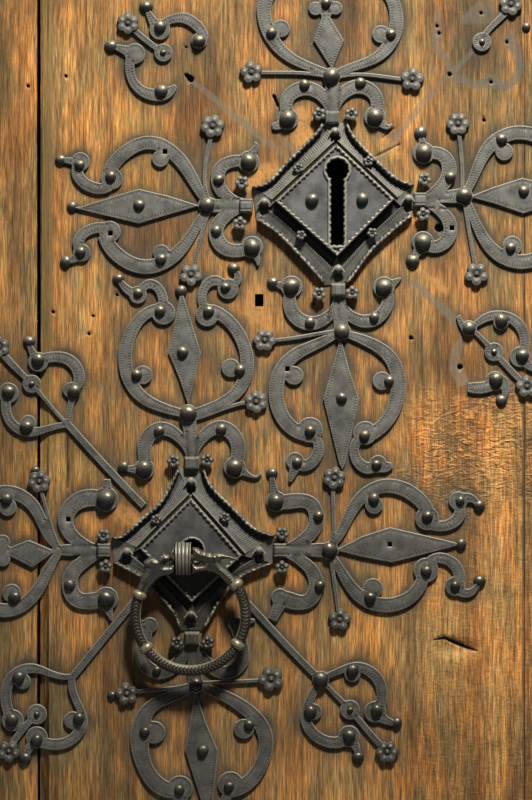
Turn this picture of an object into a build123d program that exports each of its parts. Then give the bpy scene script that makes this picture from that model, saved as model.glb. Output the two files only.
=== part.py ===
from build123d import *
import os

# Arched wooden door of vertical planks with forged iron stars, in its timber frame.
# Millimetres. X runs across the door, Z up, and the outside of the door faces -Y.
# The leaf's outside face lies at Y = 0 and the floor at Z = 0.

# Leaf
leaf_width = 900.0
spring_height = 1600.0
leaf_thickness = 52.0
left_seam_x = -218.0
right_seam_x = 267.0
left_seam_gap = 3.0
right_seam_gap = 0.6
tongue_length = 14.0
tongue_thickness = 12.0
tongue_play = 0.3
seam_chamfer_width = 9.0
seam_chamfer_depth = 3.0

# Frame
leaf_gap = 5.0
stop_overlap = 20.0
stop_play = 0.5
frame_width = 85.0
frame_front = 48.0
frame_back_step = 1.0
frame_hollow = 18.0
threshold_height = 40.0
threshold_stop_height = 15.0
threshold_stop_slope = 7.0
threshold_stop_inset = 8.0
bottom_gap = 6.0
tenon_thickness = 24.0
tenon_shoulder = 15.0
tenon_length = 50.0
foot_tenon_length = 25.0
tenon_play = 0.3
peg_radius = 6.0
peg_play = 0.1
wall_bolt_radius = 7.0
wall_bolt_low = 300.0
wall_bolt_rise = 1100.0

# Ledges across the back
ledge_thickness = 30.0
ledge_height = 110.0
ledge_low = 190.0
ledge_above_spring = 130.0
ledge_side_inset = 30.0
ledge_nail_shares = [-0.733, -0.289, 0.356, 0.778]
ledge_nail_rise = 30.0
ledge_chamfer = 8.0

# Hinges on the back
pin_radius = 8.0
pin_play = 0.05
eye_wall = 5.0
strap_thickness = 5.0
strap_width = 44.0
strap_end_width = 26.0
strap_length = 660.0
strap_spade_radius = 26.0
hinge_play = 0.3
hinge_lift_play = 0.3
hinge_side_gap = 8.0
pintle_arm_height = 16.0
pintle_plate_width = 46.0
pintle_plate_height = 90.0
pintle_plate_edge = 20.0
pintle_top_stub = 6.0
hinge_low = 400.0
hinge_below_spring = 100.0
strap_nail_shares = [0.09, 0.3, 0.545, 0.79]

# Lock on the back
bolt_height = 28.0
bolt_thickness = 12.0
bolt_play = 0.3
bolt_start_x = -5.0
bolt_end_inset = 1.0
bolt_throw = 28.0
bolt_above_keyhole = 52.0
case_width = 206.0
case_height = 188.0
case_depth = 34.0
case_wall = 3.0
case_above_keyhole = 1.0
staple_width = 22.0
staple_wall = 5.0
staple_foot = 20.0
staple_foot_thickness = 3.0
staple_edge_insets = [188.0, 30.0]
case_lug = 9.0
keeper_place = 30.0
guide_place = 35.0
spring_x = 74.0

# Iron on the front
plate_thickness = 3.5
rim_height = 8.0
rim_width = 6.5
band_height = 5.0
box_height = 12.0
box_wall = 3.0
box_play = 0.3
keyhole_rim_height = 2.5
collar_height = 6.0
collar_length = 15.0
collar_breadth = 14.0
rosette_thickness = 3.0
petal_count = 6
petal_share = 0.38
band_rosette_radius = 5.0
ring_cover_height = 7.0
ring_cover_eye = 11.0
nail_shank = 4.0
nail_hole = 4.6
nail_depth = 30.0
lost_peg_x = -74.8
lost_peg_z = -96.2
lost_peg_width = 8.5
lost_peg_height = 12.4
head_rise = 0.78
head_taper = 28.0
back_nail_radius = 8.0
back_nail_height = 4.0
corner_stud_radius = 4.5
stud_height = 7.0
rim_knob_radius = 6.5
knob_height = 9.0

# Star centres on the leaf, read from the photograph's face view
lock_x = 76.0
lock_below_spring = 304.0
ring_x = -66.0
ring_below_lock = 346.0

# Keyhole, from the lock star's centre
key_x = 3.0
key_z = 33.0
key_radius = 11.0
key_slot_width = 13.0
key_slot_length = 75.0
key_rim_width = 3.5
key_wood_play = 2.0

# Ring, from the ring star's centre
ring_centre_x = -4.0
ring_centre_z = -62.0
ring_radius = 56.5
ring_bar_radius = 4.8
ring_axle_radius = 4.0
ring_axle_z = -7.0
ring_stand_off = 22.0
ring_arc_end = 31.5
ring_arc_start = -201.8
knop_radius = 7.0
knop_length = 9.0
beast_thickness = 8.0
beast_eye_radius = 3.0
hook_x = -8.0
hook_width = 15.0
hook_wall = 4.7
hook_play = 0.3
hook_shank_height = 10.0
hook_shank_width = 12.0
hook_shank_play = 0.3
rove_radius = 17.0
rove_thickness = 4.0

# Sizes that follow from the ones above
leaf_half = leaf_width / 2
leaf_bottom = threshold_height + bottom_gap
rebate_half = leaf_half + leaf_gap
stop_half = leaf_half - stop_overlap
frame_half = rebate_half + frame_width
frame_back = leaf_thickness - frame_back_step
tenon_y = (frame_back - frame_front) / 2
lock_z = spring_height - lock_below_spring
ring_z = lock_z - ring_below_lock
eye_radius = pin_radius + pin_play + eye_wall
pin_x = -leaf_half - hinge_side_gap
pin_y = leaf_thickness + eye_radius + hinge_play
bolt_z = lock_z + key_z + bolt_above_keyhole
bolt_y = leaf_thickness + staple_foot_thickness + bolt_play + bolt_thickness / 2
case_x = lock_x + key_x
case_z = lock_z + key_z + case_above_keyhole
bolt_end_x = leaf_half - bolt_end_inset
staple_places = [leaf_half - inset for inset in staple_edge_insets]
hinge_heights = {"lower": threshold_height + hinge_low, "upper": spring_height - hinge_below_spring}
rove_top = ring_z + ring_axle_z + rove_radius
ledge_middle = (rove_top + case_z - case_height / 2) / 2
ledge_heights = {
    "bottom": threshold_height + ledge_low, "middle": ledge_middle, "top": spring_height + ledge_above_spring
}
leaf_tall = spring_height + leaf_half - leaf_bottom
above_all = 2 * leaf_tall


def on_face(shape, depth=0.0, x=0.0, z=0.0):
    """Stand a flat drawing's solid up against the leaf's face, depth in front of it."""
    return Plane(origin=(x, -depth, z), x_dir=(1, 0, 0), z_dir=(0, -1, 0)).location * shape


def on_back(shape, depth=0.0, x=0.0, z=0.0):
    """Stand a drawing's solid up behind the leaf's back face, growing to +Y."""
    origin = (x, leaf_thickness + depth, z)
    return Plane(origin=origin, x_dir=(-1, 0, 0), z_dir=(0, 1, 0)).location * shape


def block(x0, x1, y0, y1, z0, z1):
    """A box between two corners."""
    centre = Pos((x0 + x1) / 2, (y0 + y1) / 2, (z0 + z1) / 2)
    return centre * Box(x1 - x0, y1 - y0, z1 - z0)


def strap(points):
    """A forged strap: a band whose width changes along a smooth centre line."""
    left = []
    right = []
    last = len(points) - 1
    for i, (x, z, width) in enumerate(points):
        before = points[max(i - 1, 0)]
        after = points[min(i + 1, last)]
        along = Vector(after[0] - before[0], after[1] - before[1]).normalized()
        side = Vector(-along.Y, along.X) * (width / 2)
        left.append(Vector(x, z) + side)
        right.append(Vector(x, z) - side)
    if last == 1:
        return make_face(Polyline(*left, *reversed(right), close=True))
    edges = [Spline(*left), Line(left[-1], right[-1]), Spline(*reversed(right)), Line(right[0], left[0])]
    return make_face(edges)


def lobe(x, z, radius):
    """A round end of a strap."""
    return Pos(x, z) * Circle(radius)


def square_holes(places, size):
    """Square holes for forged nails."""
    return [Pos(x, z) * Rectangle(size, size) for x, z in places]


def head(radius):
    """A hammered eight-sided head standing on Z = 0, as high as its radius allows."""
    return extrude(RegularPolygon(radius, 8), amount=head_rise * radius, taper=head_taper)


def forged_plate(plate):
    """One plate cut from sheet: straps, round lobes and pointed blades in one outline, with ball ends.

    Every nail has its square hole, and the open holes are those whose nails are lost.
    """
    pieces = [strap(points) for points in plate["straps"]]
    pieces += [lobe(*place) for place in plate["lobes"]]
    pieces += [make_face(Polyline(*points, close=True)) for points in plate["blades"]]
    outline = Sketch() + pieces
    outline -= square_holes([(x, z) for x, z, radius in plate["nails"]] + plate["open"], nail_hole)
    solid = extrude(outline, amount=plate_thickness)
    return solid + [Pos(x, z) * head(radius) for x, z, radius in plate["balls"]]


def front_nails(places, seat, x, z):
    """Nails of X, Z and head radius, driven from the outside with their heads seated in front of the leaf."""
    length = nail_depth + seat
    shank = Pos(0, 0, -length / 2) * Box(nail_shank, nail_shank, length)
    return [on_face(Pos(px, pz) * (head(radius) + shank), seat, x, z) for px, pz, radius in places]


def back_nails(places, seat, length):
    """Nails driven from the back, placed by their X and Z on the door."""
    one = extrude(RegularPolygon(back_nail_radius, 8), amount=back_nail_height, taper=head_taper)
    one += Pos(0, 0, -length / 2) * Box(nail_shank, nail_shank, length)
    return [on_back(one, seat, x, z) for x, z in places]


def keyhole_shape(grow):
    """A keyhole: a round head with a straight slot below it."""
    slot = Pos(0, -key_slot_length / 2) * Rectangle(key_slot_width + 2 * grow, key_slot_length + 2 * grow)
    return Circle(key_radius + grow) + slot


def rosette(radius):
    """A stamped flower of petals round a flat centre."""
    petals = PolarLocations(radius * (1 - petal_share), petal_count) * RegularPolygon(radius * petal_share, 8)
    return extrude(Sketch() + petals + RegularPolygon(radius * 0.5, 8), amount=rosette_thickness)


# Ironwork of the lock star. Straps are (x, z, width), lobes (x, z, radius), from the star's centre.
lock_lilies = {
    "left": {
        "straps": [
            [(-85, -1, 10), (-99, -2, 9), (-113, -2, 13), (-127, -1.5, 14)],
            [(-127, 1, 7), (-137, 17, 11), (-155, 45, 14), (-184, 61, 14), (-208, 52, 14), (-225, 30, 14)],
            [(-222, 19, 11), (-243, 17, 12), (-256, 29, 12), (-251, 44, 11)],
            [(-252, 42, 12), (-264, 43, 7), (-273, 44, 5)],
            [(-127, -4, 7), (-139, -25, 10), (-160, -52, 14), (-187, -63, 15), (-214, -53, 15), (-230, -30, 14)],
            [(-224, -26, 12), (-243, -25.5, 11), (-254, -34, 11.5), (-252, -49, 12)],
            [(-252, -49, 12), (-260, -55, 8), (-268, -58, 5)],
            [(-124, 2, 4), (-129.5, 27, 4), (-125, 58, 4), (-121.4, 77, 4)],
            [(-124, -5, 4), (-133, -32, 4), (-139, -56, 4), (-143, -71, 4)],
            [(-90, 2, 7), (-105, 6, 12), (-116, 22, 14), (-113, 36, 13.5), (-100, 42.5, 12.5), (-86, 42, 11)],
            [(-86, 44, 12), (-81, 52, 8), (-78, 57, 6), (-79, 62, 2)],
            [(-90, -5, 7), (-108, -12, 13), (-118, -29, 15), (-111, -43, 15), (-98, -47, 14), (-82, -43, 11)],
            [(-82, -46, 12), (-77, -54, 7), (-76, -62, 2)],
        ],
        "lobes": [
            (-127, -1.5, 9), (-222, 25, 11), (-173.5, 45, 8.5), (-253.5, 42, 9.5), (-224, -28, 11),
            (-252, -49, 9), (-172.5, -49, 8.5), (-85.5, 42, 11), (-82, -43, 11),
        ],
        "blades": [
            [(-134, -2), (-165, 8), (-195.5, 15), (-254, -3), (-264, -3), (-254, -6), (-195, -20), (-165, -11)],
        ],
        "nails": [
            (-127, -1.5, 7.5), (-85.5, 42, 7.7), (-82, -43, 7.7), (-223, 27, 5.5), (-254, 39, 5),
            (-253, -48, 5.2), (-172.7, -55.4, 5.5), (-194.6, -1, 5.5), (-115, 24, 5.3),
            (-117.7, -27, 5.2),
        ],
        "balls": [(-273, 44, 5.5), (-268, -58, 6), (-261.6, -2.8, 5.3)],
        "open": [(-169, 52), (-223.5, -29.5)],
    },
    "bottom": {
        "straps": [
            [(4, -85, 10), (5, -99, 9), (6, -113, 13), (7.8, -127.5, 14)],
            [(3, -130, 7), (-17, -140, 11), (-46, -157, 14), (-58, -186, 15), (-48, -218, 15), (-26, -231, 15)],
            [(-22, -232, 11), (-16, -248, 11), (-27, -261, 12), (-39, -257, 12)],
            [(-38, -260, 12), (-41, -269, 8), (-44, -278, 3)],
            [(12, -130, 7), (32, -137, 11), (57, -155, 14), (64, -185, 15), (54, -215, 14), (32, -232, 15)],
            [(28, -234, 12), (20, -248, 10), (28, -262, 12), (44, -260, 13)],
            [(44, -260, 14), (52, -263, 11), (58, -261, 6)],
            [(4, -127, 4), (-16, -130, 4), (-46, -135, 4), (-69, -136.5, 4)],
            [(2, -92, 6), (-8, -114, 12), (-27, -119, 15), (-42, -108, 14.5), (-44, -90, 12), (-42, -82, 10)],
            [(-46, -84, 12), (-55, -81, 7), (-61, -79, 4)],
            [(9, -92, 6), (18, -113, 12), (36, -117, 14), (50, -107, 13), (54, -95, 12), (50, -83, 10)],
            [(54, -82, 11), (61, -78, 7), (67, -74, 2)],
        ],
        "lobes": [
            (7.8, -127.5, 9), (-24, -226, 13), (-39, -257, 9), (-40, -171.6, 9.5), (31, -229, 12),
            (44, -260, 9), (48, -177, 9.5), (-42.5, -82.7, 11), (49.8, -83.4, 11),
        ],
        "blades": [
            [(6.4, -133), (-3, -168), (-10.8, -195), (5, -260), (8.2, -266), (11, -260), (25, -195), (16, -168)],
        ],
        "nails": [
            (7.8, -127.5, 7.5), (-42.5, -82.7, 7.6), (49.8, -83.4, 8), (-24, -227, 5.4),
            (-37, -258, 4.8), (30.5, -231.6, 5.4), (42.5, -260.5, 4.9), (55, -177, 5), (7.5, -194, 5.3),
            (-24, -118.5, 5.2), (40, -113.7, 5),
        ],
        "balls": [(-61, -78.6, 5.8)],
        "open": [(-46.6, -165)],
    },
    "top": {
        "straps": [
            [(-1, 85, 10), (-2, 99, 9), (-2, 113, 13), (-2.5, 127, 14)],
            [(0, 128, 8), (-18, 134.5, 9), (-47, 148.5, 11.5), (-65, 171, 14), (-69, 200, 14), (-58, 218, 14),
             (-36, 230, 14)],
            [(-32, 229, 11), (-30, 245, 10), (-39, 257, 11), (-52, 254, 11)],
            [(-50, 254, 12), (-62, 258, 8), (-71, 264, 4)],
            [(0, 128, 8), (13, 134.5, 9), (45, 148, 11.5), (60.5, 171, 14.5), (60, 199, 13), (48, 219, 13.5),
             (26, 230, 14)],
            [(20, 230, 11), (14, 246, 10), (22, 258, 11), (35, 256, 11)],
            [(34, 256, 12), (43, 264, 8), (45, 273, 4)],
            [(-2, 126, 4), (-22, 129.6, 4), (-50, 131, 4), (-82, 131, 4)],
            [(0, 125, 4), (20, 129, 4), (45, 127.5, 4), (78, 124, 4)],
            [(-6, 92, 6), (-12, 108, 13), (-32, 115, 15), (-47, 104, 14), (-47, 92, 13), (-46, 85, 10)],
            [(-49, 84, 12), (-54, 79, 9), (-58, 77.5, 8), (-62, 77, 5)],
            [(2, 92, 6), (8, 109, 13), (26, 117, 15), (41, 108, 14), (43, 95, 13), (41, 87, 10)],
            [(45, 86, 12), (49, 79, 8), (53, 77, 6), (58, 79.5, 2)],
        ],
        "lobes": [
            (-2.5, 127.3, 9), (-29, 228, 12), (-52, 254, 9), (-53, 175, 9), (18, 228, 12), (35, 256, 9),
            (47, 169.4, 9), (-46.4, 84.8, 11), (41, 86.7, 11), (-18.5, 195, 7), (1.5, 195.5, 7),
        ],
        "blades": [
            [(-2.2, 134), (10, 163), (-5, 188), (-12, 188), (-20.5, 163)],
            [(-12, 185), (-4, 185), (0, 196), (-6, 240), (-8, 252), (-10, 240), (-16, 196)],
        ],
        "nails": [
            (-2.5, 127.3, 8), (-46.4, 84.8, 8), (41, 86.7, 8), (-62.5, 170.7, 5.3), (56.8, 169.4, 5.2),
            (-8, 200, 5), (-29.5, 118.7, 5.3), (26.4, 120.7, 5.3), (-30, 229, 5.4), (19, 229, 5.4),
        ],
        "balls": [],
        "open": [],
    },
    "right": {
        "straps": [
            [(85, 3, 10), (99, 5, 9), (114, 7, 13), (129.8, 7.8, 14)],
            [(131, 10, 8), (140, 28, 10), (156, 58, 14), (183, 71, 14.5), (209, 64, 14.5), (228, 42, 14)],
            [(228, 30, 12), (243, 28, 11), (256, 36, 12), (255, 50, 12)],
            [(254, 50, 12), (265, 52, 8), (274, 48, 5)],
            [(132, 5, 7), (142, -20, 10), (162, -49, 14), (188, -58, 15), (212, -49, 14.5), (226, -26, 14)],
            [(227, -18, 12), (242, -10, 11), (254, -16, 12), (256, -31, 12)],
            [(254, -32, 12), (266, -38, 8), (275, -35, 5)],
            [(128, 10, 4), (128, 35, 4), (126, 60, 4), (123.7, 79.6, 4)],
            [(130, 4, 4), (134, -22, 4), (139, -52, 4), (142.3, -70, 4)],
            [(91, 7, 7), (106, 16, 13), (115, 33, 15), (110, 47, 14), (100, 51, 13), (90, 50, 10)],
            [(89, 53, 12), (88, 62, 7), (86.5, 71, 4)],
            [(91, 1, 7), (105, -6, 12), (116, -22, 14), (113, -36, 14), (102, -43, 13), (89, -38.5, 10)],
            [(87, -42, 12), (82, -51, 8), (79, -57, 4)],
        ],
        "lobes": [
            (129.8, 7.8, 9), (228, 35, 12), (255, 47, 9.5), (170, 52, 9), (226, -22, 12), (255, -31, 9.5),
            (178, -42, 10), (89.7, 50.8, 11), (88.8, -38.3, 11),
        ],
        "blades": [[(134, 7), (160, 17), (188, 26), (246, 12), (256, 11), (246, 8), (189, -10), (160, 0)]],
        "nails": [
            (129.8, 7.8, 7.5), (89.7, 50.8, 8), (88.8, -38.3, 8), (167.3, 64.3, 5.5), (176.5, -44, 5.2),
            (189.5, 13, 5.3), (116, 27, 5.2), (229, 36, 5.4), (227, -22, 5.4),
        ],
        "balls": [(86.5, 71, 6.3), (78.8, -56.9, 6.7)],
        "open": [(117.7, -24.2)],
    },
}

lock_scrolls = {
    "nw_upper": {
        "straps": [
            [(-188, 197, 4), (-183, 186, 8), (-174, 173, 14)],
            [(-174, 176, 10), (-163, 184, 9), (-150, 185.5, 11), (-137, 178, 11), (-131, 168, 11), (-139, 160, 8)],
            [(-206, 180, 5), (-200, 174, 6), (-178, 156, 6), (-170.5, 151, 6)],
        ],
        "lobes": [(-174, 174, 10.5), (-134.8, 163, 8), (-170.5, 151, 9.2)],
        "blades": [],
        "nails": [(-173.6, 176.7, 6), (-134.8, 162.5, 6.2), (-170.5, 151, 3)],
        "balls": [(-187.8, 197, 6.5)],
        "open": [],
    },
    "nw_lower": {
        "straps": [
            [(-223, 158, 4), (-213, 155, 8), (-200, 150, 14)],
            [(-202, 148, 11), (-204, 133, 9.5), (-197, 117, 10), (-184, 109.5, 12), (-172, 109, 13), (-158, 118, 4)],
        ],
        "lobes": [(-199, 150, 10.5), (-173, 111, 8)],
        "blades": [],
        "nails": [(-172.5, 112.8, 6.3)],
        "balls": [(-222.8, 157.8, 6.4)],
        "open": [],
    },
    "se": {
        "straps": [
            [(124, -112, 5), (134.8, -124, 8), (146, -117, 8), (166, -111.5, 10), (184, -120, 11), (190.5, -138, 10),
             (187, -152, 12)],
            [(187, -153, 12), (196, -163, 8), (205, -168, 4)],
            [(136, -124, 5), (146, -133, 5), (159.8, -148, 6), (180, -170, 6.5), (192.7, -182.7, 6)],
        ],
        "lobes": [(134.8, -124.3, 8), (186, -153, 10.5), (166.7, -119, 7.5), (159.8, -148, 9.5)],
        "blades": [],
        "nails": [(134.8, -124.3, 6.3), (188, -151.4, 6.2), (167, -116.4, 6.3), (159.8, -148, 3)],
        "balls": [],
        "open": [],
    },
    "se_tail": {
        "straps": [
            [(133.5, -183.5, 9), (144, -184, 12), (155, -182, 12), (162, -177, 12)],
            [(160, -177, 14), (170, -180, 11), (171, -189, 7), (167.5, -196, 4)],
        ],
        "lobes": [(161, -177, 10)],
        "blades": [],
        "nails": [(161.8, -175.6, 6.9)],
        "balls": [(167.5, -196, 5.6)],
        "open": [],
    },
    "ne": {
        "straps": [[(147.7, 161.6, 6), (152.8, 171.7, 6), (170, 189.6, 7), (176.5, 199, 7)]],
        "lobes": [(147.7, 161.6, 9.5)],
        "blades": [],
        "nails": [(147.7, 161.6, 3)],
        "balls": [],
        "open": [],
    },
}

# Ironwork of the ring star, in the same form, from its own centre.
ring_lilies = {
    "top": {
        "straps": [
            [(0, 85.5, 10), (-1, 99, 9), (-2, 118, 13), (-3.7, 136, 14)],
            [(-3, 135, 8), (-25, 141, 10), (-52, 155, 13), (-66, 182, 14), (-63, 212, 13), (-46, 236, 12),
             (-31, 241, 12)],
            [(-31, 240, 11), (-30, 255, 10), (-38, 265, 10), (-51, 260, 10)],
            [(-53, 255, 10), (-64, 260, 9), (-73, 271, 5)],
            [(-2, 136, 8), (20, 143, 10), (46, 159.4, 13), (55, 183, 14), (48, 214, 13), (32, 233, 13),
             (18, 240, 13)],
            [(15, 240, 10), (10, 254, 9), (18, 268, 10.5), (32, 265, 11)],
            [(36, 264, 10), (46, 271, 8), (41.5, 281, 5)],
            [(-2, 130, 4), (18, 136, 4), (40, 144, 4), (64, 148, 4)],
            [(-3, 92, 6), (-11, 111, 11), (-32, 121, 15), (-46, 109, 15), (-47, 92, 13.5), (-47, 82, 10)],
            [(-50, 82, 13), (-60, 81, 8), (-68, 82.6, 5)],
            [(3, 92, 6), (11, 113, 12), (29.5, 122.5, 15), (44.5, 110, 15), (45.5, 92, 14), (43, 83, 10)],
            [(46, 80, 12), (57, 75, 5), (64, 73, 3), (69, 77, 3)],
        ],
        "lobes": [
            (-3.7, 136.8, 9), (-28.5, 237, 12), (-54, 255, 9), (-49, 175, 9.5), (15.2, 234.7, 11.5),
            (36, 261, 10.5), (39, 182, 9.5), (-47.7, 81, 10.5), (42.7, 82.6, 11),
        ],
        "blades": [[(-4, 145), (3, 172), (9.1, 197), (-7, 250), (-10.7, 261), (-13, 250), (-23.5, 197), (-13, 172)]],
        "nails": [
            (-3.7, 136.8, 8), (-47.7, 81, 8), (42.7, 82.6, 7.8), (-31.5, 239, 5.3), (-53.7, 257, 4.6),
            (-55.2, 175.2, 5.3), (16.7, 238.5, 5.6), (33.7, 262.6, 4.8), (48, 179.8, 5.5),
            (-9.2, 197.8, 5.7), (-32.7, 119.5, 5.2), (29.5, 121, 5.3),
        ],
        "balls": [(-10.7, 258.8, 6), (-73.4, 271, 5.6), (41.5, 281.4, 6), (-68.4, 82.6, 6)],
        "open": [],
    },
    "right": {
        "straps": [
            [(86.5, 0, 10), (100, 0, 9), (118, 0, 13), (137, 0, 14)],
            [(138, 4, 8), (150, 20, 10), (167, 50, 13), (192, 64, 14.5), (219, 57, 15), (236, 38, 14)],
            [(236, 27, 11), (250, 24, 11), (264, 30, 12), (267, 45, 12)],
            [(266, 50, 12), (278, 52, 9), (287, 45, 5)],
            [(138, -4, 8), (149, -21, 10), (168, -46, 14), (194, -55, 15), (218, -47, 14), (231, -24, 13)],
            [(236, -13, 11), (250, -8, 11), (264, -17, 12), (265, -34, 12)],
            [(264, -38, 12), (276, -43, 9), (287, -32, 5)],
            [(139, 3, 4), (141.6, 26, 4), (141, 50, 4), (142.3, 72, 4)],
            [(138, -4, 4), (142, -30, 4), (145, -52, 4), (147.5, -69.4, 4)],
            [(91, 2, 7), (110, 9, 13), (124, 28, 15), (119, 46, 15), (101, 49, 16), (85, 48, 10)],
            [(84, 51, 12), (81, 65, 7), (80, 76.6, 4)],
            [(91, -3, 7), (110, -11, 12), (124, -32, 15), (117, -50, 15), (101, -51, 17), (88, -47, 12)],
            [(90, -48, 16), (85, -60, 11), (80.4, -70, 9)],
        ],
        "lobes": [
            (137.6, 0, 9), (235, 31.6, 12), (266, 49.3, 9.5), (182, 45, 9), (233.7, -20, 12.5),
            (263, -36, 10), (181, -38, 10), (84.5, 48.6, 10.5), (88, -47, 9),
        ],
        "blades": [[(143, 0), (170, 14), (198, 23), (260, 8.5), (270, 5.8), (260, 3), (200, -12.6), (170, -7)]],
        "nails": [
            (137.6, 0, 7.6), (83.6, 48.6, 7.3), (235.2, 33.8, 5.4), (267.9, 49.3, 4.6),
            (181.7, 51.5, 5.6), (234, -20.7, 5.3), (263, -35.5, 4.9), (178, -47.3, 5.8),
            (126.4, 33.8, 5.2), (127.8, -35.5, 5.2),
        ],
        "balls": [(287.2, 44, 6), (287.5, -31, 6), (268.8, 5.8, 5.7), (80, 76.6, 5.6)],
        "open": [(197.6, 5.8)],
    },
    "bottom": {
        "straps": [
            [(0, -85, 10), (1, -99, 9), (2, -116, 13), (4, -134, 14)],
            [(1, -136, 8), (-18, -145, 12), (-42, -158, 14), (-52, -184, 19), (-48, -214, 16), (-33, -235, 17),
             (-14, -241, 15)],
            [(-13, -243, 11), (-10, -256, 11), (-20, -267, 12), (-33, -262, 12)],
            [(-34, -262, 12), (-44, -266, 8), (-52, -272, 4)],
            [(7, -135, 8), (27, -143, 11), (53, -158, 14), (73, -184, 15), (70, -212, 14), (56, -232, 15),
             (38, -241, 14)],
            [(38, -243, 11), (34, -256, 10), (44, -267, 11), (57, -262, 12)],
            [(57, -262, 12), (66, -266, 8), (74, -272, 4)],
            [(3, -132, 4), (-20.6, -138, 4), (-45, -140, 4), (-65, -143.5, 4)],
            [(6, -133, 4), (24.5, -132, 4), (50, -131, 4), (79, -129, 4)],
            [(-3, -93, 7), (-12, -110, 13), (-34, -122, 14), (-49, -111, 14), (-49, -94, 13), (-44, -76, 10)],
            [(-44, -76, 10), (-54, -73, 7), (-63, -74, 3)],
            [(4, -93, 7), (14, -112, 13), (36, -122, 14), (50, -110, 14), (49, -92, 13), (44, -74, 10)],
            [(44, -75, 10), (54, -72, 7), (63, -70, 3)],
        ],
        "lobes": [
            (4, -134, 8.5), (-12, -238, 13), (-33, -260, 9), (-38, -182, 11.5), (38.7, -234, 13),
            (57, -260, 9), (52, -178.5, 10), (-42, -75, 8), (44, -74, 8),
        ],
        "blades": [[(3.7, -140), (-2, -172), (-7, -200), (13, -262), (17, -272), (20, -262), (26.3, -200), (14, -172)]],
        "nails": [
            (4, -134, 6.7), (-47.3, -181.5, 5), (-12.6, -239, 5), (57, -174.4, 5.1), (37, -236, 5),
            (10.8, -200, 5.8), (-35, -120, 4.5), (41, -118, 4.5), (44, -72, 5),
        ],
        "balls": [],
        "open": [],
    },
    "left": {
        "straps": [
            [(-85, 0, 10), (-100, 0, 9), (-117, 0, 12), (-134, 0, 9)],
            [(-133, 2, 7), (-147, 22, 11), (-160, 46, 13), (-184, 58, 14), (-208, 51, 14), (-226, 31, 14)],
            [(-226, 21, 12), (-243, 18, 12), (-257, 29, 12), (-253, 43, 11)],
            [(-253, 43, 12), (-264, 44, 7), (-273, 44, 5)],
            [(-133, -3, 7), (-145, -23, 11), (-158, -45, 13), (-183, -60, 14), (-210, -52, 14.5), (-228, -30, 14)],
            [(-226, -26, 12), (-243, -24, 11), (-255, -33, 11.5), (-253, -48, 12)],
            [(-252, -49, 12), (-261, -55, 8), (-269, -58, 5)],
            [(-133, 4, 4), (-142, 28, 4), (-148, 50, 4), (-152.7, 66.5, 4)],
            [(-90, 2, 7), (-112, 8, 13), (-126, 28, 16), (-119, 45, 17), (-104, 52, 18), (-87, 51, 13)],
            [(-86, 53, 14), (-85, 62, 10), (-85, 71, 7)],
            [(-90, -3, 7), (-110, -13, 14), (-122, -31, 16), (-116, -48, 17), (-102, -51, 17), (-86, -48, 13)],
            [(-86, -50, 13), (-83, -61, 8), (-80, -71, 2)],
        ],
        "lobes": [
            (-134, 0, 6), (-224, 26, 11), (-253, 42, 9.5), (-184, 43, 9), (-225, -28, 11),
            (-252, -48, 9.5), (-180, -43, 9.5), (-86, 51, 12.5), (-85.4, -48.5, 12), (-189, 8, 7.5), (-189, -9, 7.5),
        ],
        "blades": [
            [(-136, -1), (-163, 10.4), (-184, 2), (-184, -5), (-159.5, -17.6)],
            [(-180, 3), (-193, 7), (-242, 1), (-250, -1), (-242, -3), (-193, -9), (-180, -5)],
        ],
        "nails": [
            (-86, 50.8, 8.8), (-85.4, -48.5, 8), (-185, 51, 5.6), (-177, -47, 6), (-122, -34.5, 5.4),
            (-224, 26, 5.4), (-225, -28, 5.4),
        ],
        "balls": [],
        "open": [(-123.6, 30.8)],
    },
}

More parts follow.
